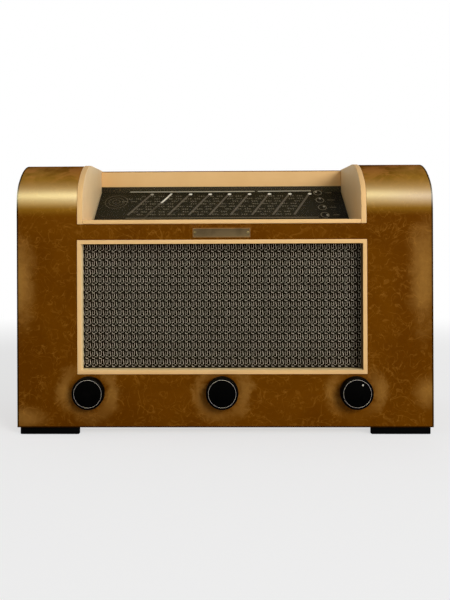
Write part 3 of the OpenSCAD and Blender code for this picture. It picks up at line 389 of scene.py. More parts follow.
def veneer_finish():
    """Burr veneer of the front and top, with a band of painted highlight and the most polish where the front
    bends into the top.
    """
    mat = Finish("burr_veneer")
    spot = mat.place()
    parts = mat.axes()
    colour, fine, fleck = burr(mat, spot)
    patchy = mat.noise(spot, 52, 5, 0.7, 0.4).step(0.2, 0.8)
    ragged = mat.noise(spot, 42, 6, 0.7, 0.5)
    worn = None
    for centre, reach, strength in WORN_AND_HIGHLIT:
        one = blob(mat, parts, [v * MM for v in centre], [v * MM for v in reach], ragged) * strength
        worn = one if worn is None else worn.maths("MAXIMUM", one)
    for knob, around in RUBBED_AND_HIGHLIT:
        middle = (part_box(knob)[0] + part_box(knob)[1]) / 2
        away = ((parts[0] - middle.x) ** 2 + (parts[2] - middle.z) ** 2) ** 0.5
        rubbed = 1 - (abs(away - RUBBED_AND_HIGHLIT_R) / RUBBED_AND_HIGHLIT_W + (ragged - 0.5) * 2.6).step(0.0, 1.0)
        beside = abs(parts[0] - middle.x) / away
        worn = worn.maths("MAXIMUM", rubbed * (around + (RUBBED_AND_HIGHLIT_BESIDE - around) * beside ** 4))
    # Lighter patches and rings of veneer: partly wear, partly painted highlight.
    colour = mat.mix((worn * (0.7 + 0.3 * fleck + 0.15 * patchy)).clamp(), colour, srgb(*WORN_AND_HIGHLIT_VENEER))
    bend = parts[2].step(*BEND_FROM) * (1 - 0.7 * parts[1].step(*BEND_BACK))
    cloud = mat.noise(spot, 30, 3, 0.55, 0.7)
    colour = mat.mix(bend * cloud.step(0.42, 0.6) * 0.42, colour, srgb(186, 118, 62))
    colour = mat.mix(bend * (1 - cloud.step(0.3, 0.44)) * 0.6, colour, srgb(84, 34, 0))
    # Painted highlight: a lighter band in the base colour along the bend, under the gloss there.
    painted_highlight = parts[2].step(*HIGHLIGHT_BAND_FROM) * (1 - parts[2].step(*HIGHLIGHT_BAND_TO))
    colour = mat.mix(painted_highlight * 0.42, colour, srgb(196, 150, 50))
    polish = parts[2].step(*POLISH_FROM) * (1 - parts[2].step(*POLISH_TO))
    # Painted shade: a dark line along the outer and lower edges of the front.
    edge = (abs(parts[0]).step(*SHADE_EDGE_X) + (1 - parts[2].step(*SHADE_EDGE_Z))).clamp() * 0.85
    colour = mat.mix(edge, colour, srgb(24, 12, 0))
    return lacquered(mat, spot, colour, fine, fleck, (polish * 0.59 + 0.004) * (0.95 + 0.05 * patchy))


def wood_finish(name, light, dark):
    """Plain sawn wood with its grain across the cabinet."""
    mat = Finish(name)
    spot = mat.place(scale=(0.06, 1, 1))
    rings = mat.node("ShaderNodeTexWave", {"bands_direction": "Z"},
                     {"Vector": spot, "Scale": 34, "Distortion": 7, "Detail": 3, "Detail Scale": 1.5})
    pores = mat.noise(spot, 900, 3, 0.6)
    colour = mat.mix(rings * 0.55 + pores * 0.35, light, dark)
    return mat.shade(Base_Color=colour, Roughness=0.75 + 0.1 * pores, Specular_IOR_Level=0.25,
                     Normal=mat.bump(rings * 0.4 + pores, 0.0002, 0.4))


def cream_finish(name, tones=((224, 181, 122), (217, 173, 113), (233, 195, 140)), shade_black_below=None):
    """Old cream brushing paint with faint brush marks and a little yellowing, black below a height as painted
    shade.
    """
    mat = Finish(name)
    spot = mat.place()
    brush = mat.noise(mat.place(scale=(0.08, 1, 1)), 420, 3, 0.6)
    tone = mat.noise(spot, 14, 3, 0.6)
    colour = mat.mix(tone.step(0.3, 0.75), srgb(*tones[0]), srgb(*tones[1]))
    colour = mat.mix(brush.step(0.5, 0.9) * 0.2, colour, srgb(*tones[2]))
    # Painted shade: black below the given height.
    if shade_black_below:
        above = mat.axes()[2].step(shade_black_below - 0.0002, shade_black_below + 0.0002)
        colour = mat.mix(above, srgb(32, 23, 6), colour)
    return mat.shade(Base_Color=colour, Roughness=0.5 + 0.12 * brush, Specular_IOR_Level=0.12,
                     Normal=mat.bump(brush, 0.00006, 0.35))


def black_finish(name, tint, rough, coarse):
    """Black lacquer or moulded bakelite with a faint flow in its colour."""
    mat = Finish(name)
    flow = mat.noise(mat.place(), coarse, 4, 0.6, 0.8)
    colour = mat.mix(flow.step(0.45, 0.8), srgb(*tint), srgb(*[v + 3 for v in tint]))
    return mat.shade(Base_Color=colour, Roughness=rough + 0.14 * flow, Specular_IOR_Level=0.015,
                     Normal=mat.bump(mat.noise(mat.place(), coarse * 24, 2), 0.00003, 0.4))


def metal_finish(name, light, dark, rough, brushed=(1, 1, 1)):
    """Metal sheet or turned metal with brush lines and light stains."""
    mat = Finish(name)
    lines = mat.noise(mat.place(scale=brushed), 1500, 3, 0.6)
    stain = mat.noise(mat.place(), 45, 4, 0.6, 0.5)
    colour = mat.mix(stain.step(0.35, 0.75), light, dark)
    colour = mat.mix(lines.step(0.4, 0.8) * 0.3, colour, dark)
    return mat.shade(Base_Color=colour, Metallic=1.0, Roughness=rough + 0.2 * stain,
                     Normal=mat.bump(lines, 0.00002, 0.5))


def board_finish(name, light, dark, scale=700):
    """Pressed board or moulded laminate with short fibres."""
    mat = Finish(name)
    fibre = mat.noise(mat.place(scale=(1, 1, 0.35)), scale, 4, 0.7, 0.6)
    cloud = mat.noise(mat.place(), 18, 3, 0.6)
    colour = mat.mix(fibre * 0.6 + cloud * 0.4, light, dark)
    return mat.shade(Base_Color=colour, Roughness=0.7 + 0.15 * fibre, Specular_IOR_Level=0.3,
                     Normal=mat.bump(fibre, 0.00015, 0.5))


def glass_finish(name, tint, clear, rough, gloss):
    """Thin clear glass as a coloured film that lets most light through."""
    mat = Finish(name)
    dust = mat.noise(mat.place(), 60, 4, 0.7).step(0.55, 0.9)
    return mat.shade(Base_Color=tint, Roughness=rough + 0.1 * dust, Specular_IOR_Level=gloss,
                     Alpha=(1 - clear) + 0.05 * dust)


def dial_black_finish():
    """Black enamel of the dial plate, deeper at its right end."""
    mat = Finish("dial_plate_black")
    cloud = mat.noise(mat.place(), 30, 3, 0.6)
    colour = mat.mix(cloud.step(0.35, 0.75), srgb(33, 28, 14), srgb(40, 35, 20))
    colour = mat.mix(mat.axes()[0].step(0.160, 0.164), colour, srgb(18, 15, 7))
    return mat.shade(Base_Color=colour, Roughness=0.6 + 0.2 * cloud, Specular_IOR_Level=0.05)


def pointer_finish():
    """Ivory enamel on the upper part of the pointer and blackened metal below."""
    mat = Finish("pointer_enamel")
    wear = mat.noise(mat.place(), 400, 3, 0.6)
    ivory = mat.mix(wear.step(0.4, 0.8), srgb(255, 251, 232), srgb(244, 238, 214))
    bright = mat.axes()[2].step(POINTER_BRIGHT_Z - 0.0003, POINTER_BRIGHT_Z + 0.0003)
    colour = mat.mix(bright, srgb(66, 58, 42), ivory)
    return mat.shade(Base_Color=colour, Roughness=0.6 + 0.1 * wear, Specular_IOR_Level=0.1)


def print_finish(name, colour, worn):
    """Screen-printed ink, thinner here and there."""
    mat = Finish(name)
    thin = mat.noise(mat.place(), 500, 3, 0.7)
    return mat.shade(Base_Color=mat.mix(thin.step(0.4, 0.85), colour, worn), Roughness=0.7,
                     Specular_IOR_Level=0.1)


def cloth_finish(name, light, dark, scale):
    """Twisted yarn: darker in its grooves as painted shade, with loose fibres."""
    mat = Finish(name)
    yarn = mat.noise(mat.place(), scale, 4, 0.7, 0.4)
    cloud = mat.noise(mat.place(), 30, 3, 0.6)
    colour = mat.mix(yarn.step(0.3, 0.7), dark, light)
    colour = mat.mix(cloud.step(0.4, 0.8) * 0.25, colour, dark)
    return mat.shade(Base_Color=colour, Roughness=0.85, Specular_IOR_Level=0.01,
                     Normal=mat.bump(yarn, 0.0002, 0.6))


FINISHES = {
    "veneer": veneer_finish(),
    "bare_wood": wood_finish("sawn_wood", srgb(206, 178, 132), srgb(166, 128, 82)),
    "cream_paint": cream_finish("cream_paint"),
    "black_foot": black_finish("black_lacquer", (3, 3, 3), 0.45, 30),
    "dial_glass": glass_finish("clear_glass", srgb(60, 56, 40), 0.95, 0.12, 0.02),
    "dial_black": dial_black_finish(),
    "pointer_white": print_finish("ivory_enamel", srgb(184, 181, 168), srgb(166, 161, 146)),
    "bakelite": black_finish("black_bakelite", (0, 0, 0), 0.34, 40),
    "steel": metal_finish("zinc_steel", srgb(196, 196, 192), srgb(158, 156, 148), 0.38),
    "aluminium": metal_finish("aluminium", srgb(222, 222, 220), srgb(196, 196, 194), 0.32),
    "brass": metal_finish("brass", srgb(208, 172, 96), srgb(162, 124, 60), 0.32),
    "lamp_glass": glass_finish("tube_glass", srgb(216, 222, 220), 0.72, 0.06, 0.5),
    "cord": cloth_finish("drive_cord_yarn", srgb(214, 204, 170), srgb(150, 136, 100), 2600),
    "grille_cloth": cloth_finish("cloth_backing", srgb(26, 21, 12), srgb(16, 12, 6), 1400),
    "paper_cone": board_finish("cone_paper", srgb(54, 50, 46), srgb(30, 27, 24), 900),
    "magnet_iron": metal_finish("magnet_iron", srgb(96, 96, 98), srgb(60, 60, 62), 0.5),
    "nameplate_metal": metal_finish("nameplate_bronze", srgb(64, 54, 43), srgb(54, 45, 35), 0.55,
                                    brushed=(0.03, 1, 1)),
    "felt": cloth_finish("felt", srgb(60, 48, 36), srgb(32, 25, 18), 1800),
    "laminate": board_finish("laminate", srgb(126, 82, 42), srgb(92, 56, 26), 500),
    "hardboard": board_finish("hardboard", srgb(132, 98, 60), srgb(98, 70, 40), 620),
}
YARN = cloth_finish("loop_yarn", srgb(250, 237, 214), srgb(104, 93, 76), 1500)
SIDE_VENEER = side_veneer_finish()
# Back wall of the recess, black below the top of the glass as painted shade.
RECESS_BACK = cream_finish("recess_back_paint", shade_black_below=GLASS_TOP)
# Painted light and painted shade: lighter and darker copies of the cream paint for the grille frame's
# reveals.
REVEAL_PAINTED_LIGHT = cream_finish("reveal_lit_cream", ((255, 228, 172), (250, 219, 160), (255, 236, 186)))
REVEAL_SHADE = cream_finish("reveal_shade_cream", ((92, 70, 42), (84, 62, 36), (102, 80, 50)))
# Painted shade and painted light: darker and lighter copies of the cream paint for the right and left cheeks.
CHEEK_SHADE = cream_finish("right_cheek_shade_cream", ((230, 200, 150), (222, 191, 140), (237, 209, 161)))
CHEEK_PAINTED_LIGHT = cream_finish("left_cheek_lit_cream", ((242, 213, 164), (235, 204, 154), (247, 221, 176)))
POINTER_ENAMEL = pointer_finish()
SILVER = metal_finish("silver_line", srgb(158, 153, 156), srgb(138, 133, 136), 0.5)
PLATE_SCREW = metal_finish("plate_screw_brass", srgb(82, 72, 54), srgb(64, 56, 41), 0.5)
RAIL_INK = print_finish("rail_ink", srgb(104, 94, 78), srgb(90, 80, 64))
LINE_INK = print_finish("line_ink", srgb(186, 180, 158), srgb(166, 158, 136))
NUMBER_INK = print_finish("number_ink", srgb(140, 130, 106), srgb(112, 102, 80))
FAINT_INK = print_finish("faint_ink", srgb(104, 93, 72), srgb(84, 75, 56))
DOT_INK = print_finish("dot_ink", srgb(255, 250, 232), srgb(240, 234, 212))
PLATE_EDGE = metal_finish("nameplate_edge", srgb(84, 62, 38), srgb(72, 52, 31), 0.5)


def select_faces(obj, test):
    """In edit mode, selects the faces whose centre and normal pass the test."""
    bpy.ops.object.mode_set(mode="EDIT")
    bpy.ops.mesh.select_mode(type="FACE")
    bpy.ops.mesh.select_all(action="DESELECT")
    shape = bmesh.from_edit_mesh(obj.data)
    for face in shape.faces:
        face.select_set(test(face.calc_center_median(), face.normal))
    shape.select_flush(True)
    bmesh.update_edit_mesh(obj.data)


def object_mode():
    """Leaves edit mode."""
    bpy.ops.object.mode_set(mode="OBJECT")


def only(obj):
    """Makes the object the only selected one, and the active one."""
    bpy.ops.object.select_all(action="DESELECT")
    obj.select_set(True)
    bpy.context.view_layer.objects.active = obj


def apply_place(obj):
    """Works the object's place, turn and scale into its mesh."""
    only(obj)
    bpy.ops.object.transform_apply(location=True, rotation=True, scale=True)


def modify(obj, kind, **settings):
    """Adds a modifier and applies it."""
    only(obj)
    made = obj.modifiers.new(kind.lower(), kind)
    for key, value in settings.items():
        setattr(made, key, value)
    bpy.ops.object.modifier_apply(modifier=made.name)


def smooth(obj, angle=32):
    """Smooth shading, with edges above the angle kept sharp."""
    only(obj)
    bpy.ops.object.shade_smooth_by_angle(angle=math.radians(angle))


def dress(obj, finish, body="root", replaces=()):
    """Gives a piece its finish, in its one material slot, and its body, and hides the CAD nodes that it takes
    the place of.
    """
    obj.data.materials.clear()
    obj.data.materials.append(finish)
    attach(obj, body)
    if replaces:
        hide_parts(*replaces)
    return obj


def second_finish(obj, finish, test):
    """Gives the faces that pass a test another finish."""
    obj.data.materials.append(finish)
    select_faces(obj, test)
    obj.active_material_index = len(obj.data.materials) - 1
    bpy.ops.object.material_slot_assign()
    object_mode()


def merged_copy(node, name):
    """A copy of a CAD node's mesh as one clean surface."""
    source = nodes[node]
    obj = bpy.data.objects.new(name, source.data.copy())
    bpy.context.scene.collection.objects.link(obj)
    only(obj)
    bpy.ops.object.mode_set(mode="EDIT")
    bpy.ops.mesh.select_all(action="SELECT")
    bpy.ops.mesh.remove_doubles(threshold=MERGE)
    bpy.ops.mesh.dissolve_limited(angle_limit=math.radians(FLAT_ANGLE))
    object_mode()
    return obj


def body_of(node):
    """The moving body that a CAD node belongs to."""
    return nodes[node]["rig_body"]


def refined(node, slot, edge, segments=3):
    """The CAD piece again, with its edges rounded, in place of the node."""
    obj = merged_copy(node, node + "_finished")
    modify(obj, "BEVEL", width=edge, segments=segments, limit_method="ANGLE",
           angle_limit=math.radians(CORNER_ANGLE), use_clamp_overlap=True)
    smooth(obj)
    return dress(obj, FINISHES[slot], body_of(node), (node,))


def paint_nodes():
    """Gives each CAD node that still shows the finish of its material slot."""
    for name, obj in nodes.items():
        if name in NODE_SLOTS:
            for place in obj.material_slots:
                place.material = FINISHES[NODE_SLOTS[name]]


def camera_and_light():
    """Camera in front, and the lamps; the strip makes only the gloss on the bend."""
    lens = bpy.data.cameras.new("camera")
    lens.sensor_fit = "VERTICAL"
    lens.sensor_height = SENSOR
    lens.lens = LENS
    lens.shift_x = SHIFT_X
    lens.shift_y = SHIFT_Y
    camera = bpy.data.objects.new("camera", lens)
    camera.location = EYE
    camera.rotation_euler = (math.radians(90), math.radians(ROLL), math.radians(YAW))
    bpy.context.scene.collection.objects.link(camera)
    bpy.context.scene.camera = camera
    made = {name: lamp(name, *row) for name, row in LAMPS.items()}
    made["gloss_strip"].data.color = STRIP_COLOUR
    made["gloss_strip"].visible_diffuse = False


def lamp(name, place, target, width, height, power):
    """A rectangular lamp that points at its target and isn't seen itself."""
    data = bpy.data.lights.new(name, "AREA")
    data.shape = "RECTANGLE"
    data.size = width
    data.size_y = height
    data.energy = power
    obj = bpy.data.objects.new(name, data)
    obj.location = place
    way = Vector(target) - Vector(place)
    obj.rotation_euler = way.to_track_quat("-Z", "Y").to_euler()
    obj.visible_camera = False
    bpy.context.scene.collection.objects.link(obj)
    return obj


def white_room():
    """A pale floor and a white room, dimmer for the light that falls on the object."""
    scene = bpy.context.scene
    scene.view_settings.view_transform = "Standard"
    world = bpy.data.worlds.new("room")
    scene.world = world
    world.use_nodes = True
    tree = world.node_tree
    back = tree.nodes["Background"]
    back.inputs["Color"].default_value = (1, 1, 1, 1)
    path = tree.nodes.new("ShaderNodeLightPath")
    seen = tree.nodes.new("ShaderNodeMath")
    seen.operation = "MAXIMUM"
    tree.links.new(path.outputs["Is Camera Ray"], seen.inputs[0])
    tree.links.new(path.outputs["Is Glossy Ray"], seen.inputs[1])
    every = tree.nodes.new("ShaderNodeMath")
    every.operation = "MAXIMUM"
    tree.links.new(seen.outputs[0], every.inputs[0])
    tree.links.new(path.outputs["Is Transmission Ray"], every.inputs[1])
    level = tree.nodes.new("ShaderNodeMapRange")
    level.inputs["To Min"].default_value = FILL
    level.inputs["To Max"].default_value = 1
    tree.links.new(every.outputs[0], level.inputs["Value"])
    tree.links.new(level.outputs[0], back.inputs["Strength"])
    bpy.ops.mesh.primitive_circle_add(vertices=96, radius=FLOOR_R, fill_type="NGON", location=(0, 0, 0))
    floor = bpy.context.active_object
    floor.name = "floor"
    mat = Finish("pale_floor")
    ray = mat.node("ShaderNodeLightPath", {}, {}, out=0)
    glow = mat.node("ShaderNodeEmission", {}, {"Color": (1, 1, 1, 1), "Strength": 1.0})
    mat.shade(Base_Color=(0.9, 0.9, 0.9, 1), Roughness=0.9, Specular_IOR_Level=0.0)
    east, north, _ = mat.axes()
    far = (east * east + north * north).step(*FLOOR_FAR)
    mixed = mat.node("ShaderNodeMixShader", {}, {0: ray * (FLOOR_SHARE + (1 - FLOOR_SHARE) * far), 2: glow})
    mat.tree.links.new(mat.shader.outputs[0], mixed.socket.node.inputs[1])
    mat.tree.links.new(mixed.socket, mat.output.inputs["Surface"])
    floor.data.materials.append(mat.material)


def remove(obj):
    """Deletes an object with its mesh."""
    mesh = obj.data
    bpy.data.objects.remove(obj)
    bpy.data.meshes.remove(mesh)


def box_piece(name, low, high):
    """A block between two corners."""
    low, high = Vector(low), Vector(high)
    bpy.ops.mesh.primitive_cube_add(size=1, location=(low + high) / 2)
    obj = bpy.context.active_object
    obj.name = name
    obj.scale = high - low
    apply_place(obj)
    return obj


def rod_piece(name, centre, radius, depth, vertices):
    """A round rod with its axis from front to rear."""
    bpy.ops.mesh.primitive_cylinder_add(vertices=vertices, radius=radius, depth=depth,
                                        location=centre, rotation=(math.radians(90), 0, 0))
    obj = bpy.context.active_object
    obj.name = name
    apply_place(obj)
    return obj


def join(pieces, name):
    """Joins objects into the first of them."""
    bpy.ops.object.select_all(action="DESELECT")
    for piece in pieces:
        piece.select_set(True)
    bpy.context.view_layer.objects.active = pieces[0]
    bpy.ops.object.join()
    obj = bpy.context.active_object
    obj.name = name
    obj.data.name = name
    return obj


def slotted_head(name, centre, radius, height, toward, angle):
    """A domed screw head that faces front (toward -1) or rear (toward 1), with its slot."""
    x, y, z = centre
    head = rod_piece(name, (x, y + toward * height / 2, z), radius, height, 40)
    select_faces(head, lambda at, way: way.y * toward > 0.9)
    bpy.ops.mesh.inset(thickness=radius * 0.34)
    bpy.ops.transform.translate(value=(0, toward * height * 0.24, 0))
    bpy.ops.mesh.inset(thickness=radius * 0.3)
    bpy.ops.transform.translate(value=(0, toward * height * 0.08, 0))
    object_mode()
    corner = Vector((radius * 1.2, height * 0.35, radius * 0.13))
    slot = box_piece("slot", -corner, corner)
    slot.rotation_euler = (0, angle, 0)
    slot.location = (x, y + toward * height * 1.3, z)
    apply_place(slot)
    modify(head, "BOOLEAN", object=slot, operation="DIFFERENCE")
    remove(slot)
    smooth(head, 35)
    return head


def cabinet():
    """Cabinet shell, dial recess, grille frame and feet with their edges broken."""
    refined("front_wrap", "veneer", 0.7 * MM)
    for node in ("left_side_panel", "right_side_panel"):
        refined(node, "veneer", 0.9 * MM).data.materials[0] = SIDE_VENEER
    # The cheeks' side faces get the painted light copy on the left and the painted shade copy on the right.
    for node, paint in (("left_cheek", CHEEK_PAINTED_LIGHT), ("right_cheek", CHEEK_SHADE)):
        second_finish(refined(node, "cream_paint", 0.8 * MM), paint, lambda at, way: abs(way.x) > 0.9)
    refined("dial_sill", "cream_paint", 0.9 * MM)
    wall = refined("recess_back", "cream_paint", 0.8 * MM)
    wall.data.materials.clear()
    wall.data.materials.append(RECESS_BACK)
    rim = refined("grille_frame", "cream_paint", 0.8 * MM)
    middle = (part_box("grille_frame")[0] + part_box("grille_frame")[1]) / 2

    def lit(at, way):
        return at.y > FRONT_Y and (way.z > 0.9 and at.z < middle.z or way.x > 0.9 and at.x < middle.x)

    # Painted shade on the right reveal of the grille frame, painted light on its lower and left reveals.
    second_finish(rim, REVEAL_SHADE, lambda at, way: way.x < -0.9 and at.x > 0 and at.y > FRONT_Y)
    second_finish(rim, REVEAL_PAINTED_LIGHT, lit)
    refined("left_foot", "black_foot", 1.4 * MM)
    refined("right_foot", "black_foot", 1.4 * MM)
    refined("bottom_board", "bare_wood", 0.6 * MM)
    refined("back_cover", "hardboard", 0.5 * MM)


def back_screws():
    """Slotted brass heads on the screws of the back cover, each turned another way."""
    low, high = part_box("back_cover_screws")
    heads = []
    for i, z in enumerate(COVER_SCREW_Z):
        for k, x in enumerate((low.x + COVER_SCREW_R, high.x - COVER_SCREW_R)):
            at = (x, high.y - COVER_SCREW_T, z * MM)
            heads.append(slotted_head("screw", at, COVER_SCREW_R, COVER_SCREW_T / DOMED, 1,
                                      math.radians(35 + 57 * i + 100 * k)))
    screws = join(heads, "back_cover_screw_heads")
    dress(screws, FINISHES["brass"], "root", ("back_cover_screws",))


def knobs():
    """Turned knobs, each with a silver line let into its face, and the selector's dot."""
    for node in KNOB_NODES:
        refined(node, "bakelite", 0.6 * MM, 4)
        low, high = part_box(node)
        middle = (low + high) / 2
        bpy.ops.mesh.primitive_torus_add(
            major_radius=RING_R, minor_radius=RING_WIRE, major_segments=144, minor_segments=10,
            location=(middle.x, low.y + RING_WIRE, middle.z), rotation=(math.radians(90), 0, 0))
        ring = bpy.context.active_object
        ring.name = node + "_silver_line"
        apply_place(ring)
        smooth(ring)
        dress(ring, SILVER, body_of(node))
    low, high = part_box("selector_dot")
    middle = (low + high) / 2
    radius = (high.x - low.x) * DOT_SHARE
    bpy.ops.mesh.primitive_uv_sphere_add(segments=28, ring_count=14, radius=radius, location=(0, 0, 0))
    dot = bpy.context.active_object
    dot.name = "selector_dot_enamel"
    dot.scale = (1, DOT_FLAT, 1)
    dot.location = (middle.x, low.y + radius * DOT_FLAT, middle.z)
    apply_place(dot)
    smooth(dot, 60)
    dress(dot, FINISHES["pointer_white"], body_of("selector_dot"), ("selector_dot",))


def nameplate():
    """Bare plate with a raised rim and two slotted screws."""
    low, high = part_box("nameplate")
    plate = box_piece("nameplate_pressed", low, high)
    select_faces(plate, lambda at, way: way.y < -0.9)
    bpy.ops.mesh.inset(thickness=RIM_W)
    bpy.ops.transform.translate(value=(0, RIM_H, 0))
    object_mode()
    modify(plate, "BEVEL", width=0.22 * MM, segments=2, limit_method="ANGLE", angle_limit=math.radians(30))
    smooth(plate)
    dress(plate, PLATE_EDGE, "root", ("nameplate",))
    middle = (low.z + high.z) / 2
    second_finish(plate, FINISHES["nameplate_metal"],
                  lambda at, way: way.y < -0.99 and abs(at.z - middle) < FIELD_HALF
                  and at.y > low.y + 0.8 * RIM_H)
    head_low, head_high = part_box("nameplate_screws")
    heads = [slotted_head("screw", (at, low.y + PLATE_SCREW_IN, middle), PLATE_SCREW_R, PLATE_SCREW_T, -1,
                          math.radians(turn))
             for at, turn in ((head_low.x + PLATE_SCREW_R, 25), (head_high.x - PLATE_SCREW_R, -40))]
    screws = join(heads, "nameplate_screw_heads")
    dress(screws, PLATE_SCREW, "root", ("nameplate_screws",))


def dial():
    """Glass with its print, plate and pointer of the dial."""
    refined("dial_glass", "dial_glass", 0.3 * MM, 2)
    pointer = refined("dial_pointer", "pointer_white", 0.15 * MM, 2)
    pointer.data.materials.clear()
    pointer.data.materials.append(POINTER_ENAMEL)
    rails_and_dots()
    printed_lines()
    wave_selectors()
    plain_rings()
    number_rows()


def lay_on_dial(obj, depth):
    """Turns a flat drawing of X and Y into the slope of the dial, at a depth below the top of the glass."""
    obj.rotation_euler = (DIAL_SLOPE, 0, 0)
    obj.location = (PRINT_X, FRONT_Y + DIAL_FRONT + depth * math.sin(DIAL_SLOPE),
                    SILL_TOP - depth * math.cos(DIAL_SLOPE))
    apply_place(obj)


def printed(pieces, name, ink, depth=PRINT_DEPTH):
    """Joins flat shapes into one thin print, on the underside of the glass or on the plate."""
    obj = join(pieces, name)
    modify(obj, "SOLIDIFY", thickness=PRINT_T, offset=-1)
    lay_on_dial(obj, depth)
    return dress(obj, ink)


def bar(x0, s0, x1, s1, width):
    """A flat bar between two points of the drawing, in millimetres."""
    x0, s0, x1, s1, width = (v * MM for v in (x0, s0, x1, s1, width))
    bpy.ops.mesh.primitive_plane_add(size=1, location=((x0 + x1) / 2, (s0 + s1) / 2, 0),
                                     rotation=(0, 0, math.atan2(s1 - s0, x1 - x0)))
    obj = bpy.context.active_object
    obj.scale = (math.hypot(x1 - x0, s1 - s0), width, 1)
    apply_place(obj)
    return obj


def oval(x, s, rx, rs, vertices, fill="NGON"):
    """A flat oval of the drawing, or its edge alone, in millimetres."""
    bpy.ops.mesh.primitive_circle_add(vertices=vertices, radius=1, fill_type=fill,
                                      location=(x * MM, s * MM, 0))
    obj = bpy.context.active_object
    obj.scale = (rx * MM, rs * MM, 1)
    apply_place(obj)
    return obj


def oval_line(x, s, rx, rs, width, vertices):
    """An oval outline."""
    obj = oval(x, s, rx, rs, vertices, "NOTHING")
    bpy.ops.object.mode_set(mode="EDIT")
    bpy.ops.mesh.select_all(action="SELECT")
    bpy.ops.mesh.extrude_edges_move()
    bpy.ops.transform.resize(value=(1 - width / rx, 1 - width / rs, 1), center_override=(x * MM, s * MM, 0))
    object_mode()
    return obj


def rails_and_dots():
    """Nine slanted lines, each with a bright dot at its upper end."""
    rails = [bar(low, RAIL_S[0], high, RAIL_S[1], RAIL_W) for low, high in zip(RAIL_LOW, RAIL_HIGH)]
    dots = [oval(x, DOT_S, *DOT_R, 20) for i, x in enumerate(DOT_X) if i != POINTER_RAIL]
    printed(rails, "dial_slanted_lines", RAIL_INK, PLATE_DEPTH)
    printed(dots[:1], "dial_first_dot", LINE_INK)
    printed(dots[1:], "dial_line_dots", DOT_INK)


def printed_lines():
    """The line above the scale, broken once, and the fainter one below it."""
    printed([bar(*line, UPPER_W) for line in UPPER_LINES], "dial_upper_line", LINE_INK)
    printed([bar(*LOWER_LINE, LOWER_W)], "dial_lower_line", FAINT_INK)


def wave_selectors():
    """Four small circles at the right end, each with a dot at another place and a short line beside it."""
    rings = []
    dots = []
    dashes = []
    for (x, s), (dx, ds), (start, end) in zip(CIRCLES, CIRCLE_DOTS, DASHES):
        rings.append(oval_line(x, s, *CIRCLE_R, CIRCLE_W, 28))
        dots.append(oval(x + dx, s + ds, *CIRCLE_DOT_R, 12))
        dashes.append(bar(start, s, end, s, DASH_W))
    printed(rings, "dial_circles", NUMBER_INK)
    printed(dots, "dial_circle_dots", LINE_INK)
    printed(dashes, "dial_dashes", FAINT_INK)


def plain_rings():
    """Faint rings in the bare field at the left end."""
    rings = [oval_line(*RINGS_AT, rx, rs, RINGS_W, 56) for rx, rs in RINGS_R]
    printed(rings, "dial_plain_rings", FAINT_INK)


def number_rows():
    """Rows of plain numbers between the slanted lines; the first column leaves room for the rings."""
    rows = []
    for i, x in enumerate(ROW_X):
        for k in range(ROW_COUNT if i else FIRST_COLUMN_ROWS):
            s = ROW_TOP - k * ROW_PITCH
            first = 10 * (3 * i + 5 * k + 7)
            words = str(first) + ("  " + str(first + 35) if (i + 2 * k) % 3 else "")
            end = x + (s - ROW_S) * ROW_SLANT - ROW_GAP - ROW_STAGGER * ((i + k) % 3)
            bpy.ops.object.text_add(location=(0, 0, 0))
            text = bpy.context.active_object
            text.data.body = words
            text.data.size = TYPE_SIZE * MM
            text.data.resolution_u = 1
            text.data.align_x = "RIGHT"
            text.scale = (TYPE_WIDE, 1, 1)
            text.location = (end * MM, (s - TYPE_HALF) * MM, 0)
            only(text)
            bpy.ops.object.convert(target="MESH")
            made = bpy.context.active_object
            apply_place(made)
            rows.append(made)
    printed(rows, "dial_numbers", NUMBER_INK)


def grille_cloth():
    """Backing sheet stretched on the baffle, with a raised weave of loops in front."""
    low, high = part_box("grille_cloth")
    bpy.ops.mesh.primitive_grid_add(x_subdivisions=CLOTH_QUADS[0], y_subdivisions=CLOTH_QUADS[1], size=1)
    sheet = bpy.context.active_object
    sheet.name = "grille_backing"
    sheet.scale = (high.x - low.x, high.z - low.z, 1)
    sheet.rotation_euler = (math.radians(90), 0, 0)
    sheet.location = ((low.x + high.x) / 2, high.y - CLOTH_IN, (low.z + high.z) / 2)
    apply_place(sheet)
    modify(sheet, "SOLIDIFY", thickness=CLOTH_T, offset=0)
    dress(sheet, FINISHES["grille_cloth"], "root", ("grille_cloth",))
    weave = weave_piece(low, high)
    dress(weave, YARN, "root")


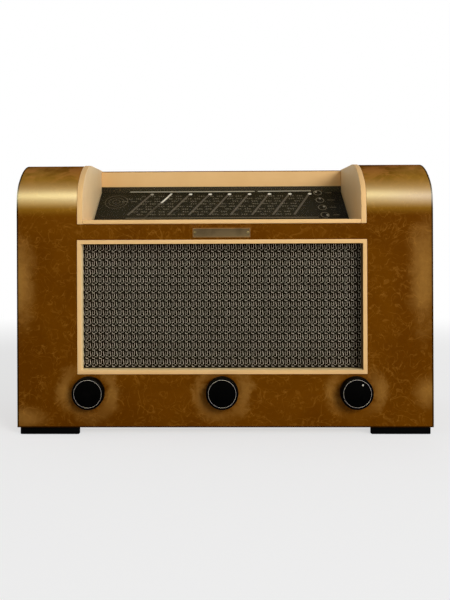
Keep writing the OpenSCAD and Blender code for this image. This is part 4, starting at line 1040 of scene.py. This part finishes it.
def yarn_piece(name, radius, points):
    """A yarn of a few sides along points in X and Z, each given with its height towards the front."""
    points = [(x * CELL_W, z * CELL_H, out * MM) for x, z, out in points]
    verts = []
    faces = []
    last = len(points) - 1
    for i, (x, z, out) in enumerate(points):
        before = points[max(i - 1, 0)]
        after = points[min(i + 1, last)]
        along = Vector((after[0] - before[0], 0, after[1] - before[1])).normalized()
        side = Vector((along.z, 0, -along.x)) * radius * MM
        for k in range(YARN_SIDES):
            turn = 2 * math.pi * k / YARN_SIDES
            offset = side * math.cos(turn) + Vector((0, -math.sin(turn) * radius * MM * YARN_FLAT, 0))
            verts.append(Vector((x, -out, z)) + offset)
    for i in range(last):
        for k in range(YARN_SIDES):
            a = i * YARN_SIDES + k
            b = i * YARN_SIDES + (k + 1) % YARN_SIDES
            faces.append((a, b, b + YARN_SIDES, a + YARN_SIDES))
    faces.append(tuple(range(YARN_SIDES))[::-1])
    faces.append(tuple(last * YARN_SIDES + k for k in range(YARN_SIDES)))
    mesh = bpy.data.meshes.new(name)
    mesh.from_pydata(verts, [], faces)
    mesh.update()
    obj = bpy.data.objects.new(name, mesh)
    bpy.context.scene.collection.objects.link(obj)
    return obj


def weave_piece(low, high):
    """The raised weave: in each cell a slanted cord, an open loop beside it, and two short wefts."""
    cell = join([yarn_piece(*yarn) for yarn in YARNS], "weave")
    columns = int((high.x - low.x) / CELL_W)
    rows = int((high.z - low.z) / CELL_H)
    cell.location = (low.x + CELL_W * 0.5 + (high.x - low.x - columns * CELL_W) / 2, low.y,
                     low.z + CELL_H * 0.5 + (high.z - low.z - rows * CELL_H) / 2)
    apply_place(cell)
    modify(cell, "ARRAY", count=columns, use_relative_offset=False, use_constant_offset=True,
           constant_offset_displace=(CELL_W, 0, 0))
    modify(cell, "ARRAY", count=rows, use_relative_offset=False, use_constant_offset=True,
           constant_offset_displace=(0, 0, CELL_H))
    only(cell)
    bpy.ops.object.mode_set(mode="EDIT")
    bpy.ops.mesh.select_all(action="SELECT")
    bpy.ops.mesh.remove_doubles(threshold=0.00001)
    object_mode()
    smooth(cell, 80)
    return cell


camera_and_light()
white_room()
cabinet()
back_screws()
knobs()
nameplate()
dial()
grille_cloth()
paint_nodes()
